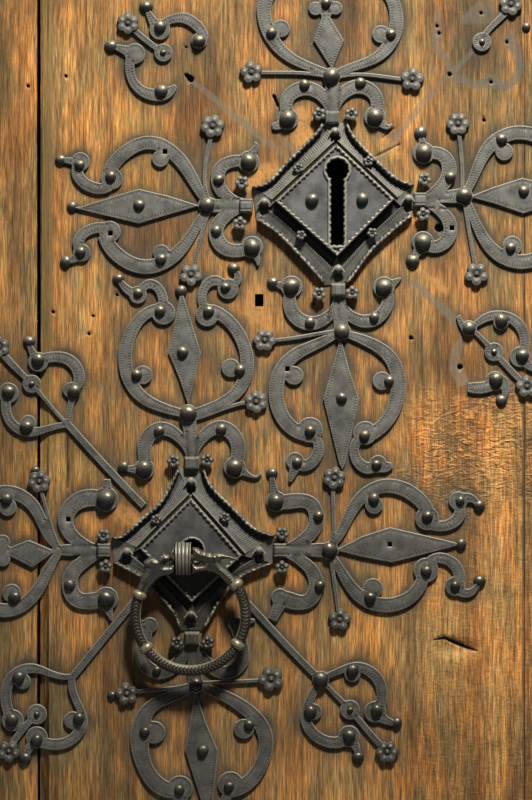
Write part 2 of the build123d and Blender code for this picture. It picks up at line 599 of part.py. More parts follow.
ring_scrolls = {
    "nw": {
        "straps": [
            [(-48, 44, 7.5), (-75, 72, 7.5), (-100, 99, 7.5), (-125, 127, 7.5)],
            [(-124, 125, 6), (-123, 138, 6), (-120, 150, 7), (-118, 160, 10)],
            [(-118, 160, 10), (-113, 176, 12), (-123, 190, 12), (-138, 193, 11), (-153, 189, 12)],
            [(-153, 189, 12), (-160, 199, 7), (-163, 208, 5)],
            [(-124, 125, 6), (-142, 122, 7), (-164, 118, 10), (-181, 128, 10), (-186, 143, 10), (-183, 157, 12)],
            [(-124, 125, 4), (-143, 146, 4), (-160, 166, 5), (-176, 182, 7), (-193, 202, 7)],
        ],
        "lobes": [(-121, 160, 8), (-153.6, 188, 10), (-183.5, 157, 10.5), (-163.5, 127, 8), (-160, 166, 9.3)],
        "blades": [],
        "nails": [
            (-117.5, 159, 6.4), (-153.6, 190, 6.3), (-183, 158.5, 6.3), (-165, 123, 6.3), (-160, 166, 3),
        ],
        "balls": [(-162.8, 208.4, 5.8)],
        "open": [],
    },
    "sw": {
        "straps": [
            [(-52, -45, 7.5), (-74, -71, 7.5), (-96, -98, 7.5), (-119, -126, 7.5)],
            [(-119, -126, 6), (-139, -124, 7), (-160, -118, 10), (-180, -127, 11), (-186, -148, 11), (-180, -168, 12)],
            [(-119, -126, 6), (-116, -149, 8), (-109, -172, 10), (-120, -189, 11), (-140, -194, 11.5), (-156, -188, 12)],
            [(-157, -189, 12), (-163, -199, 8), (-167, -208, 5)],
            [(-148, -157, 4), (-155, -164, 6), (-169, -179, 7), (-183, -201, 7)],
        ],
        "lobes": [(-179, -170, 11), (-155, -187, 11), (-169, -131, 8), (-119, -170, 9), (-155, -164, 10.3)],
        "blades": [],
        "nails": [
            (-179.5, -169.4, 6.4), (-173, -127, 6.2), (-155, -189.6, 5.8), (-113, -168, 5.6),
            (-155, -164, 3),
        ],
        "balls": [(-167, -208, 6.3)],
        "open": [],
    },
    "se": {
        "straps": [
            [(53, -50, 7), (78, -77, 7), (103, -104, 7), (128, -129, 7.5)],
            [(128, -128, 6), (144, -122, 7), (165, -116.5, 10), (185, -128, 11.5), (190, -145, 11), (184, -161, 12)],
            [(184, -162, 13), (196, -171, 8), (204.6, -173, 5)],
            [(127, -130, 6), (118, -149, 9), (114, -170, 11), (126, -187, 11.5), (145, -192, 12), (157, -186, 12)],
            [(158, -187, 12), (164, -197, 8), (166, -207, 5)],
            [(129, -129, 5), (143, -144, 5), (158, -159.5, 6), (172, -176, 6.5), (195, -201.5, 6.5)],
        ],
        "lobes": [
            (128.6, -129, 8.5), (183, -161.5, 11), (157, -186, 11), (160.4, -124, 8), (121.5, -161.5, 8.5),
            (158, -159.5, 10),
        ],
        "blades": [],
        "nails": [
            (128.6, -129, 7.5), (184.4, -160, 6), (160.4, -119.7, 6), (157, -185, 6.3),
            (118.3, -161, 6.2), (158, -159.5, 3),
        ],
        "balls": [(204.6, -173, 5.6), (166, -207, 5.9)],
        "open": [],
    },
}

lock_rosettes = [
    (-121.4, 77.3, 12.5), (-143, -71, 12), (-69.4, -136.5, 12), (-82.7, 131, 12), (78, 124, 12.5),
    (123.7, 79.6, 12), (142.3, -70.4, 12.5), (-206, 180, 11.5), (176.5, 199, 12), (192.7, -182.7, 12),
]
ring_rosettes = [
    (64, 148, 12), (142.3, 72, 12), (147.5, -69.4, 12), (-65, -143.5, 12), (79, -128.7, 13.5),
    (-152.5, 68.5, 12), (-193, 203, 11.5), (-183, -201, 12), (195, -201.5, 12),
]

# Nails through the keyhole cover, and the ones that stand in bare wood beside a lost scroll or a rosette
lock_cover_nails = [(-22, 3, 6.3), (28, 4, 6)]
lock_bare_nails = [(192.2, 176.7, 4.3)]
ring_bare_nails = [(-80.2, -145.5, 4.4), (-156.7, 79.5, 4.4)]

# Raised frames of the two stars: four hollow sides, the inner diamond and its small fittings.
lock_frame_sides = [
    [(-82, 17), (-67, 22), (-47, 43), (-19, 71), (-12, 81)],
    [(13, 81), (21, 67), (43, 44), (63, 26), (80, 19)],
    [(78, -13), (63, -25), (38, -48), (18, -75), (12, -81)],
    [(-11, -81), (-17, -73), (-37, -51), (-57, -31), (-77, -17)],
]
lock_diamond = [(-59, 2), (2, 59), (60, 4), (3, -53)]
lock_collars = [(-2, 87, 0), (-88, -1.5, 90), (4.5, -87, 0), (86.5, 4, 90)]
lock_band_rosettes = [(-35, 35), (34, 42), (-32, -31), (37, -29)]
lock_corner_studs = [(1, 70), (-70, 0), (74, 3), (4, -68)]
lock_rim_ends = [(-15, 89), (18, 89), (-92, 21), (-94, -20), (-15, -91), (19, -90), (90, 24), (89, -13)]

ring_frame_sides = [
    [(-80, 13), (-70, 15), (-50, 33), (-30, 52), (-14, 82)],
    [(12, 82), (20, 65), (40, 45), (63, 23), (83, 15)],
    [(81, -13), (50, -27), (30, -50), (18, -70), (12, -80)],
    [(-12, -80), (-18, -65), (-32, -48), (-52, -28), (-78, -13)],
]
ring_diamond = [(-52, 2), (-1, 53), (50, -5), (0, -52)]
ring_collars = [(0, 88, 0), (-87.5, 0, 90), (0, -88, 0), (88, 0, 90)]
ring_band_rosettes = [(-35, 31), (33, 33)]
ring_corner_studs = [(-1, 68), (-66, -1), (68, -1), (-1, -66)]
ring_rim_ends = [(-18, 90), (15, 90), (-88, 16), (-87, -17), (90, 18), (90, -18), (-16, -92), (16, -92)]


def star_outline(sides):
    """The star's plan: four hollow curved sides joined by short straight corners."""
    edges = [Spline(*side) for side in sides]
    for side, following in zip(sides, sides[1:] + sides[:1]):
        edges.append(Line(side[-1], following[0]))
    return make_face(edges)


def star_frame(sides, diamond):
    """Base plate of a star with raised outer rims and a raised edge round its diamond opening."""
    opening = make_face(Polyline(*diamond, close=True))
    plan = star_outline(sides) - offset(opening, box_play, kind=Kind.INTERSECTION)
    base = extrude(Sketch() + plan, amount=band_height)
    rims = Sketch() + [strap([(x, z, rim_width) for x, z in side]) for side in sides]
    edge = offset(opening, rim_width, kind=Kind.INTERSECTION) - offset(opening, box_play, kind=Kind.INTERSECTION)
    return base + extrude(rims, amount=rim_height) + extrude(Sketch() + edge, amount=rim_height)


def star_rosettes(frame, stem_places, band_places):
    """Rosettes of X, Z and radius on the stems' ends, and small ones set on the star's own band."""
    flowers = [Pos(x, z, plate_thickness) * rosette(radius) for x, z, radius in stem_places]
    small = rosette(band_rosette_radius)
    return flowers + [Pos(x, z, band_height) * small - frame for x, z in band_places]


def star_fittings(frame, collars, studs, rim_ends):
    """Collars over the lily roots, corner studs and the knobs that the rims run into."""
    solids = []
    for x, z, turn in collars:
        collar = extrude(Rectangle(collar_breadth, collar_length), amount=collar_height, taper=12)
        solids.append(Pos(x, z, plate_thickness) * Rot(0, 0, turn) * collar - frame)
    for x, z in studs:
        stud = extrude(RegularPolygon(corner_stud_radius, 8), amount=stud_height, taper=25)
        solids.append(Pos(x, z, band_height) * stud - frame)
    for x, z in rim_ends:
        knob = extrude(RegularPolygon(rim_knob_radius, 8), amount=knob_height, taper=20)
        solids.append(Pos(x, z, 0) * knob - frame)
    return solids


def write(name, shapes):
    """Save one node, a single solid or a group of separate ones."""
    if not isinstance(shapes, list):
        shapes = [shapes]
    solids = [solid for shape in shapes for solid in shape.solids()]
    node = solids[0] if len(solids) == 1 else Compound(children=solids)
    node.label = name
    export_step(node, f"parts/{name}.step")


def leaf_plan(inset=0.0):
    """The leaf seen from the front: straight sides under a half circle."""
    height = spring_height - leaf_bottom - inset
    sides = Pos(0, leaf_bottom + inset + height / 2) * Rectangle(leaf_width - 2 * inset, height)
    return sides + Pos(0, spring_height) * Circle(leaf_half - inset)


def leaf_slab(x0, x1, y0, y1, inset=0.0):
    """The part of the arched leaf between two X and two Y values."""
    slab = Pos(0, y0, 0) * extrude(Rot(90, 0, 0) * (Sketch() + leaf_plan(inset)), amount=-(y1 - y0))
    return slab & block(x0, x1, y0 - 1, y1 + 1, 0, leaf_bottom + leaf_tall + 1)


os.makedirs("parts", exist_ok=True)

# Where each nail goes through the planks, in the door's own X and Z
front_places = []
for centre, lilies, scrolls in (
    ((lock_x, lock_z), lock_lilies, lock_scrolls),
    ((ring_x, ring_z), ring_lilies, ring_scrolls),
):
    for plate in list(lilies.values()) + list(scrolls.values()):
        for x, z, *radius in plate["nails"] + plate["open"]:
            front_places.append((centre[0] + x, centre[1] + z))
front_places += [(lock_x + x, lock_z + z) for x, z, radius in lock_cover_nails + lock_bare_nails]
front_places += [(ring_x + x, ring_z + z) for x, z, radius in ring_bare_nails]

ledge_nail_x = [share * leaf_half for share in ledge_nail_shares]
ledge_places = [
    (x, z + side * ledge_nail_rise) for z in ledge_heights.values() for x in ledge_nail_x for side in (-1, 1)
]
strap_places = [
    (-leaf_half + share * strap_length, z) for z in hinge_heights.values() for share in strap_nail_shares
]
case_places = [
    (case_x + sx * (case_width / 2 + case_lug), case_z + sz * (case_height / 2 - 2 * case_lug))
    for sx in (-1, 1)
    for sz in (-1, 1)
]
staple_nail_z = bolt_height / 2 + bolt_play + staple_wall + staple_foot / 2
staple_places_x = [guide_place] + staple_places
staple_nails = [(x, bolt_z + s * staple_nail_z) for x in staple_places_x for s in (-1, 1)]
back_places = ledge_places + strap_places + case_places + staple_nails

# Planks with tongue and groove seams
front_cutters = [Pos(x, nail_depth / 2, z) * Box(nail_hole, nail_depth + 2, nail_hole) for x, z in front_places]
back_cutter_y = leaf_thickness - nail_depth / 2
back_cutters = [Pos(x, back_cutter_y, z) * Box(nail_hole, nail_depth + 2, nail_hole) for x, z in back_places]
key_cut = Rot(90, 0, 0) * extrude(Sketch() + keyhole_shape(key_wood_play), amount=-leaf_thickness)
key_cut = Pos(lock_x + key_x, 0, lock_z + key_z) * key_cut
hook_hole = Box(
    hook_shank_width + 2 * hook_shank_play, 3 * leaf_thickness, hook_shank_height + 2 * hook_shank_play
)
hook_cut = Pos(ring_x + hook_x, leaf_thickness / 2, ring_z + ring_axle_z) * hook_hole

seams = [(-leaf_half - 1, left_seam_x), (left_seam_x, right_seam_x), (right_seam_x, leaf_half + 1)]
tongue_y0 = (leaf_thickness - tongue_thickness) / 2
tongue_y1 = (leaf_thickness + tongue_thickness) / 2
plank_left = leaf_slab(-leaf_half - 1, left_seam_x - left_seam_gap, 0, leaf_thickness)
plank_left -= block(
    left_seam_x - tongue_length - tongue_play, left_seam_x + 1,
    tongue_y0 - tongue_play, tongue_y1 + tongue_play, 0, above_all,
)
plank_middle = leaf_slab(left_seam_x, right_seam_x - right_seam_gap, 0, leaf_thickness)
plank_middle += leaf_slab(left_seam_x - tongue_length, left_seam_x + 1, tongue_y0, tongue_y1)
plank_middle += leaf_slab(right_seam_x - 2, right_seam_x + tongue_length, tongue_y0, tongue_y1)
chamfer_plan = make_face(
    Polyline(
        (left_seam_x - 1, -1), (left_seam_x + seam_chamfer_width, -1), (left_seam_x + seam_chamfer_width, 0),
        (left_seam_x, seam_chamfer_depth), (left_seam_x - 1, seam_chamfer_depth), close=True,
    )
)
plank_middle -= extrude(chamfer_plan, amount=above_all)
plank_right = leaf_slab(right_seam_x, leaf_half + 1, 0, leaf_thickness)
plank_right -= block(
    right_seam_x - 1, right_seam_x + tongue_length + tongue_play,
    tongue_y0 - tongue_play, tongue_y1 + tongue_play, 0, above_all,
)
lost_peg_hole = Pos(lock_x + lost_peg_x, nail_depth / 2, lock_z + lost_peg_z) * Box(
    lost_peg_width, nail_depth + 2, lost_peg_height
)
reach = tongue_length + nail_hole
planks = {
    "plank_left": (plank_left, [], -leaf_half, left_seam_x + nail_hole),
    "plank_middle": (plank_middle, [key_cut, hook_cut, lost_peg_hole], left_seam_x - reach, right_seam_x + reach),
    "plank_right": (plank_right, [], right_seam_x - nail_hole, leaf_half),
}
for name, (plank, cuts, x0, x1) in planks.items():
    for (x, z), cutter in list(zip(front_places, front_cutters)) + list(zip(back_places, back_cutters)):
        if x0 < x < x1:
            cuts.append(cutter)
    write(name, plank - cuts)

# Ledges on the back
ledge_nail_length = ledge_thickness + nail_depth - 2
for name, z in ledge_heights.items():
    top = z + ledge_height / 2
    half = leaf_half - ledge_side_inset
    if top > spring_height:
        half = ((leaf_half - ledge_side_inset) ** 2 - (top - spring_height) ** 2) ** 0.5
    bar = block(-half, half, leaf_thickness, leaf_thickness + ledge_thickness, z - ledge_height / 2, top)
    bar = chamfer(bar.faces().sort_by(Axis.Y)[-1].edges(), ledge_chamfer)
    holes = [
        Pos(x, leaf_thickness + ledge_thickness / 2, hz) * Box(nail_hole, ledge_thickness + 2, nail_hole)
        for x, hz in ledge_places
        if abs(hz - z) < ledge_height / 2
    ]
    write(f"ledge_{name}", bar - holes)
write("ledge_nails", back_nails(ledge_places, ledge_thickness, ledge_nail_length))

# Frame: one rebated and hollowed section, upright in the jambs and turned through the arch
def frame_section():
    """The frame's section, drawn with X outwards from the opening and Y through the wall."""
    corner = (stop_half + frame_hollow, -frame_front)
    edges = [
        RadiusArc((stop_half, -frame_front + frame_hollow), corner, frame_hollow),
        Line(corner, (frame_half, -frame_front)),
        Line((frame_half, -frame_front), (frame_half, frame_back)),
        Line((frame_half, frame_back), (rebate_half, frame_back)),
        Line((rebate_half, frame_back), (rebate_half, -stop_play)),
        Line((rebate_half, -stop_play), (stop_half, -stop_play)),
        Line((stop_half, -stop_play), (stop_half, -frame_front + frame_hollow)),
    ]
    return make_face(edges)


tenon_x = (rebate_half + frame_half) / 2
tenon_width = frame_width - 2 * tenon_shoulder


def tenon(length, play):
    """A tenon standing on Z = 0 in the middle of the frame's section, or its mortise with play."""
    return Pos(tenon_x, tenon_y, length / 2) * Box(
        tenon_width + 2 * play, tenon_thickness + 2 * play, length + 2 * play
    )


def frame_peg(play):
    """A round peg through the frame from front to back."""
    return Rot(90, 0, 0) * Cylinder(peg_radius + play, frame_front + frame_back)


jamb_height = spring_height - threshold_height
jamb = Pos(0, 0, threshold_height) * extrude(frame_section(), amount=jamb_height)
jamb += Pos(0, 0, spring_height) * tenon(tenon_length, 0)
jamb += Pos(0, 0, threshold_height - foot_tenon_length) * tenon(foot_tenon_length + 1, 0)
peg_high = Pos(tenon_x, tenon_y, spring_height + tenon_length / 2)
wall_bolt_hole = Rot(90, 0, 0) * Cylinder(wall_bolt_radius, 3 * frame_front)
for z in (wall_bolt_low, wall_bolt_low + wall_bolt_rise):
    jamb -= Pos(tenon_x, 0, z) * wall_bolt_hole
jamb_left_mirror = mirror(jamb - peg_high * frame_peg(peg_play), about=Plane.YZ)
jamb_right = jamb - peg_high * frame_peg(peg_play)

quarter = revolve(Pos(0, 0, spring_height) * frame_section(), Axis((0, 0, spring_height), (0, 1, 0)), -90)
quarter -= Pos(0, 0, spring_height) * tenon(tenon_length, tenon_play)
quarter -= peg_high * frame_peg(peg_play)
crown_tenon = Pos(0, 0, spring_height) * Rot(0, -90, 0) * tenon(tenon_length, 0)
crown_mortise = Pos(0, 0, spring_height) * Rot(0, -90, 0) * tenon(tenon_length, tenon_play)
crown_peg = Pos(-tenon_length / 2, tenon_y, spring_height + tenon_x)
head_right = quarter + crown_tenon - crown_peg * frame_peg(peg_play)
head_left = mirror(quarter, about=Plane.YZ) - crown_mortise - crown_peg * frame_peg(peg_play)
write("arch_head_right", head_right)
write("arch_head_left", head_left)
pegs = [peg_high * frame_peg(0), mirror(peg_high * frame_peg(0), about=Plane.YZ), crown_peg * frame_peg(0)]
write("frame_pegs", pegs)

threshold = block(-frame_half, frame_half, -frame_front, frame_back, 0, threshold_height)
stop_plan = make_face(
    Polyline(
        (-frame_front + threshold_stop_inset, threshold_height - 1), (-stop_play - 0.5, threshold_height - 1),
        (-stop_play - 0.5, threshold_height + threshold_stop_height),
        (-frame_front + threshold_stop_inset, threshold_height + threshold_stop_height - threshold_stop_slope),
        close=True,
    )
)
stop_bar = Pos(-stop_half + 0.5, 0, 0) * extrude(Plane.YZ.location * stop_plan, amount=2 * stop_half - 1)
threshold += stop_bar
foot_mortise = Pos(0, 0, threshold_height - foot_tenon_length) * tenon(foot_tenon_length + 1, tenon_play)
threshold -= [foot_mortise, mirror(foot_mortise, about=Plane.YZ)]
write("threshold", threshold)

# Hinges: strap with a rolled eye on the leaf, pintle on the jamb
pintle_nail_rise = pintle_plate_height / 2 - 14
jamb_nails = []
for name, z in hinge_heights.items():
    low = z - strap_width / 2
    eye = Pos(pin_x, pin_y, z) * Cylinder(eye_radius, strap_width)
    start = pin_x
    run = -leaf_half + strap_length
    plan = make_face(
        Polyline(
            (start, -strap_width / 2), (run, -strap_end_width / 2), (run, strap_end_width / 2),
            (start, strap_width / 2), close=True,
        )
    )
    spade = Pos(run + strap_spade_radius * 0.6, 0) * Circle(strap_spade_radius)
    point = make_face(
        Polyline(
            (run + strap_spade_radius, -strap_spade_radius * 0.8), (run + 2.6 * strap_spade_radius, 0),
            (run + strap_spade_radius, strap_spade_radius * 0.8), close=True,
        )
    )
    bar = extrude(Sketch() + [plan, spade, point], amount=strap_thickness)
    bar = Plane(origin=(0, leaf_thickness + strap_thickness, z), x_dir=(1, 0, 0), z_dir=(0, -1, 0)).location * bar
    bore = Pos(pin_x, pin_y, z) * Cylinder(pin_radius + pin_play, strap_width + 2)
    hinge = bar + eye - bore
    holes = [
        Pos(x, leaf_thickness + strap_thickness / 2, hz) * Box(nail_hole, strap_thickness + 2, nail_hole)
        for x, hz in strap_places
        if hz == z
    ]
    write(f"hinge_strap_{name}", hinge - holes)
    arm_top = low - hinge_lift_play
    pin_length = strap_width + hinge_lift_play + pintle_top_stub
    pin = Pos(pin_x, pin_y, arm_top + pin_length / 2) * Cylinder(pin_radius, pin_length)
    collar = Pos(pin_x, pin_y, arm_top - pintle_arm_height / 2) * Cylinder(eye_radius - 0.5, pintle_arm_height)
    plate_x = -rebate_half - pintle_plate_edge
    arm_bottom = arm_top - pintle_arm_height
    arm = block(plate_x - 4, pin_x, frame_back + 0.5, pin_y + pin_radius * 0.6, arm_bottom, arm_top)
    plate = block(
        plate_x - pintle_plate_width, plate_x, frame_back, frame_back + strap_thickness,
        arm_bottom + pintle_arm_height / 2 - pintle_plate_height / 2,
        arm_bottom + pintle_arm_height / 2 + pintle_plate_height / 2,
    )
    nail_x = plate_x - pintle_plate_width / 2
    nail_z = arm_bottom + pintle_arm_height / 2
    places = [(nail_x, nail_z + s * pintle_nail_rise) for s in (-1, 1)]
    jamb_nails += places
    pintle = pin + collar + arm + plate
    pintle -= [
        Pos(x, frame_back, hz) * Box(nail_hole, 4 * strap_thickness, nail_hole) for x, hz in places
    ]
    write(f"pintle_{name}", pintle)
write("strap_nails", back_nails(strap_places, strap_thickness, strap_thickness + nail_depth - 2))
jamb_nail_seat = strap_thickness - frame_back_step
write("pintle_nails", back_nails(jamb_nails, jamb_nail_seat, nail_depth))

# Bolt with its staples, keeper and spring
bolt = block(
    bolt_start_x, bolt_end_x, bolt_y - bolt_thickness / 2, bolt_y + bolt_thickness / 2,
    bolt_z - bolt_height / 2, bolt_z + bolt_height / 2,
)
talon = Pos(case_x, bolt_y, bolt_z - bolt_height / 2) * Box(24, bolt_thickness + 2, 14)
bolt -= talon
bolt = chamfer(bolt.faces().sort_by(Axis.X)[-1].edges(), 2)
write("lock_bolt", bolt)


def bolt_staple(x, base):
    """A bridge over the bolt with two nailed feet, standing on a face at Y = base."""
    inner = bolt_height / 2 + bolt_play
    outer = inner + staple_wall
    top = bolt_y + bolt_thickness / 2 + bolt_play
    bridge = block(x - staple_width / 2, x + staple_width / 2, base, top + staple_wall, -outer, outer)
    foot_reach = outer + staple_foot
    feet = block(
        x - staple_width / 2, x + staple_width / 2, base, base + staple_foot_thickness, -foot_reach, foot_reach
    )
    tunnel = block(x - staple_width, x + staple_width, base - 1, top, -inner, inner)
    holes = [
        Pos(x, base, s * staple_nail_z) * Box(nail_hole, 4 * staple_foot_thickness, nail_hole) for s in (-1, 1)
    ]
    return Pos(0, 0, bolt_z) * (bridge + feet - tunnel - holes)


write("lock_bolt_guide", bolt_staple(guide_place, leaf_thickness))
write("bolt_staple_inner", bolt_staple(staple_places[0], leaf_thickness))
write("bolt_staple_outer", bolt_staple(staple_places[1], leaf_thickness))
keeper_x = rebate_half + keeper_place - staple_width / 2
write("bolt_keeper", bolt_staple(keeper_x, frame_back))
keeper_places = [(keeper_x, bolt_z + s * staple_nail_z) for s in (-1, 1)]
write("keeper_nails", back_nails(keeper_places, staple_foot_thickness - frame_back_step, nail_depth))

jamb_left_cut = [
    Pos(x, frame_back, z) * Box(nail_hole, 2 * nail_depth, nail_hole) for x, z in jamb_nails
]
jamb_right_cut = [
    Pos(x, frame_back, z) * Box(nail_hole, 2 * nail_depth, nail_hole) for x, z in keeper_places
]
write("jamb_left", jamb_left_mirror - jamb_left_cut)
write("jamb_right", jamb_right - jamb_right_cut)

# Lock case: a pan open to the planks, with four nailed lugs
case_back = leaf_thickness + case_depth
case = block(
    case_x - case_width / 2, case_x + case_width / 2, leaf_thickness, case_back,
    case_z - case_height / 2, case_z + case_height / 2,
)
case = chamfer(case.faces().sort_by(Axis.Y)[-1].edges(), 4)
case -= block(
    case_x - case_width / 2 + case_wall, case_x + case_width / 2 - case_wall, leaf_thickness - 1,
    case_back - case_wall, case_z - case_height / 2 + case_wall, case_z + case_height / 2 - case_wall,
)
case -= block(
    case_x, case_x + case_width, leaf_thickness - 1, bolt_y + bolt_thickness / 2 + bolt_play,
    bolt_z - bolt_height / 2 - bolt_play, bolt_z + bolt_height / 2 + bolt_play,
)
for x, z in case_places:
    toward = -1 if x < case_x else 1
    lug = block(
        min(x - case_lug, case_x + toward * case_width / 2), max(x + case_lug, case_x + toward * case_width / 2),
        leaf_thickness, leaf_thickness + case_wall, z - case_lug, z + case_lug,
    )
    lug &= block(
        min(x + toward * case_lug, case_x + toward * case_width / 2),
        max(x + toward * case_lug, case_x + toward * case_width / 2),
        0, case_back, z - case_lug, z + case_lug,
    )
    case += lug
    case -= Pos(x, leaf_thickness, z) * Box(nail_hole, 4 * case_wall, nail_hole)
write("lock_case", case)
spring_plan = strap(
    [(-8, 0, 3), (24, 7, 3), (60, 9, 3), (96, 5, 3)]
)
spring_lift = bolt_height / 2 + bolt_play + 1.6
spring = extrude(Sketch() + spring_plan, amount=bolt_thickness)
spring = on_face(spring, -bolt_y - bolt_thickness / 2, spring_x, bolt_z + spring_lift)
root_top = case_z + case_height / 2 - case_wall - bolt_play
root = block(
    spring_x - 14, spring_x - 4, bolt_y - bolt_thickness / 2, bolt_y + bolt_thickness / 2,
    bolt_z + spring_lift - 1.4, root_top,
)
lock_nails = back_nails(case_places, case_wall, nail_depth)
lock_nails += back_nails(staple_nails, staple_foot_thickness, nail_depth)
write("lock_nails", lock_nails)
write("lock_spring", spring + root)

# Lock star
for name, lily in lock_lilies.items():
    write(f"lock_lily_{name}", on_face(forged_plate(lily), 0, lock_x, lock_z))
for name, scroll in lock_scrolls.items():
    write(f"lock_scroll_{name}", on_face(forged_plate(scroll), 0, lock_x, lock_z))
lock_frame = star_frame(lock_frame_sides, lock_diamond)
write("lock_star_frame", on_face(lock_frame, 0, lock_x, lock_z))
diamond = make_face(Polyline(*lock_diamond, close=True))
box = extrude(Sketch() + diamond, amount=box_height)
box -= extrude(Sketch() + offset(diamond, -box_wall, kind=Kind.INTERSECTION), amount=box_height - box_wall)
box -= Pos(key_x, key_z, -1) * extrude(Sketch() + keyhole_shape(0), amount=box_height + 2)
box -= [Pos(x, z, box_height) * Box(nail_hole, nail_hole, 3 * box_wall) for x, z, radius in lock_cover_nails]
write("lock_star_box", on_face(box, 0, lock_x, lock_z))
key_rim = Sketch() + keyhole_shape(key_rim_width) - keyhole_shape(0)
key_rim = Pos(key_x, key_z, box_height) * extrude(key_rim, amount=keyhole_rim_height)
write("lock_keyhole_rim", on_face(key_rim, 0, lock_x, lock_z))
fittings = star_fittings(lock_frame, lock_collars, lock_corner_studs, lock_rim_ends)
write("lock_star_fittings", [on_face(solid, 0, lock_x, lock_z) for solid in fittings])
flowers = star_rosettes(lock_frame, lock_rosettes, lock_band_rosettes)
write("lock_rosettes", [on_face(flower, 0, lock_x, lock_z) for flower in flowers])

# Ring star
for name, lily in ring_lilies.items():
    write(f"ring_lily_{name}", on_face(forged_plate(lily), 0, ring_x, ring_z))
for name, scroll in ring_scrolls.items():
    write(f"ring_scroll_{name}", on_face(forged_plate(scroll), 0, ring_x, ring_z))
ring_frame = star_frame(ring_frame_sides, ring_diamond)
write("ring_star_frame", on_face(ring_frame, 0, ring_x, ring_z))
inner = extrude(Sketch() + make_face(Polyline(*ring_diamond, close=True)), amount=ring_cover_height)
inner -= Cylinder(ring_cover_eye, 4 * ring_cover_height)
inner -= Pos(hook_x, ring_axle_z, 0) * Box(
    hook_shank_width + 2 * hook_shank_play, hook_shank_height + 2 * hook_shank_play, 4 * ring_cover_height
)
write("ring_star_plate", on_face(inner, 0, ring_x, ring_z))
fittings = star_fittings(ring_frame, ring_collars, ring_corner_studs, ring_rim_ends)
write("ring_star_fittings", [on_face(solid, 0, ring_x, ring_z) for solid in fittings])
flowers = star_rosettes(ring_frame, ring_rosettes, ring_band_rosettes)
write("ring_rosettes", [on_face(flower, 0, ring_x, ring_z) for flower in flowers])

for star, x, z, lilies, scrolls in (
    ("lock", lock_x, lock_z, lock_lilies, lock_scrolls),
    ("ring", ring_x, ring_z, ring_lilies, ring_scrolls),
):
    plates = list(lilies.values()) + list(scrolls.values())
    nails = front_nails([place for plate in plates for place in plate["nails"]], plate_thickness, x, z)
    if star == "lock":
        nails += front_nails(lock_cover_nails, box_height, x, z) + front_nails(lock_bare_nails, 0, x, z)
    else:
        nails += front_nails(ring_bare_nails, 0, x, z)
    write(f"{star}_front_nails", nails)

# Hook with its shank through the leaf, the rove behind, and the pull ring
hook_bore = ring_axle_radius + hook_play
axle_y = -ring_stand_off
axle_z = ring_z + ring_axle_z
hook_centre = Pos(ring_x + hook_x, axle_y, axle_z)
loop = hook_centre * Rot(0, 90, 0) * Cylinder(hook_bore + hook_wall, hook_width)
shank = block(
    ring_x + hook_x - hook_shank_width / 2, ring_x + hook_x + hook_shank_width / 2,
    axle_y + hook_bore, leaf_thickness + rove_thickness + 3,
    axle_z - hook_shank_height / 2, axle_z + hook_shank_height / 2,
)
hook = loop + shank - hook_centre * Rot(0, 90, 0) * Cylinder(hook_bore, hook_width + 2)
write("ring_hook", hook)
rove = extrude(Sketch() + Circle(rove_radius), amount=rove_thickness)
rove -= Box(hook_shank_width + 2 * hook_shank_play, hook_shank_height + 2 * hook_shank_play, 4 * rove_thickness)
write("ring_hook_rove", on_back(rove, 0, ring_x + hook_x, axle_z))

centre_x = ring_x + ring_centre_x
centre_z = ring_z + ring_centre_z
knop_angles = [ring_arc_end, -43.0, -137.0, ring_arc_start]
ring_pivot = Pos(centre_x, axle_y, centre_z)
arc_section = ring_pivot * Rot(0, -ring_arc_end, 0) * Pos(ring_radius, 0, 0) * Circle(ring_bar_radius)
ring_axis = Axis((centre_x, axle_y, centre_z), (0, 1, 0))
ring = revolve(arc_section, ring_axis, ring_arc_end - ring_arc_start)
for angle in knop_angles:
    knop = Cylinder(knop_radius, knop_length)
    ring += ring_pivot * Rot(0, -angle, 0) * Pos(ring_radius, 0, 0) * knop
beasts = [
    [(-17, -7, 8), (-21, -7.5, 9), (-29, -11, 11), (-40, -20, 13), (-50, -36, 11)],
    [(0.5, -7, 8), (13, -8, 11), (29, -15, 13), (41, -28, 11)],
]
beast_eyes = [(-37, -17), (26, -13)]
beast_plan = Sketch() + [strap(points) for points in beasts]
beast_plan -= [Pos(x, z) * Circle(beast_eye_radius) for x, z in beast_eyes]
beast = extrude(beast_plan, amount=beast_thickness)
ring += on_face(beast, ring_stand_off - beast_thickness / 2, ring_x, ring_z)
axle_length = hook_width + 4
ring += hook_centre * Rot(0, 90, 0) * Cylinder(ring_axle_radius, axle_length)
write("pull_ring", ring)
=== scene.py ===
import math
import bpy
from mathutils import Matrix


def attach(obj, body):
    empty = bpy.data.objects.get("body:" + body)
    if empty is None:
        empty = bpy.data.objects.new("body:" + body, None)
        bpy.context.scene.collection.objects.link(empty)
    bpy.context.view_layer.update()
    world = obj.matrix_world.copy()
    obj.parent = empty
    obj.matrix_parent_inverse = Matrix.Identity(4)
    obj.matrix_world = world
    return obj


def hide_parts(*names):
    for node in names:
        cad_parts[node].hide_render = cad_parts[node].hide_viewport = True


bl_info = {
    "name": "Arched plank door with forged iron",
    "version": (1, 0, 0),
    "blender": (4, 5, 0),
    "location": "View3D > Sidebar > Door",
    "description": "Dresses the packed door with chased iron, weathered oak and worn nails",
    "category": "Object",
}

import bpy
import numpy as np
from mathutils import Vector
from mathutils.geometry import delaunay_2d_cdt

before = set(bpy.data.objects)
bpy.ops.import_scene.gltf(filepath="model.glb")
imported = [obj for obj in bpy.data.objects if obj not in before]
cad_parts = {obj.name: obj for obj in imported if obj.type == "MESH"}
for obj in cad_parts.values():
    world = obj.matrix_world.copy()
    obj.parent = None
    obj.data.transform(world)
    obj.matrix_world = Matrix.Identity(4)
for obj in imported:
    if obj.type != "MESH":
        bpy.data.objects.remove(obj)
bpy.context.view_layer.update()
MM = 0.001

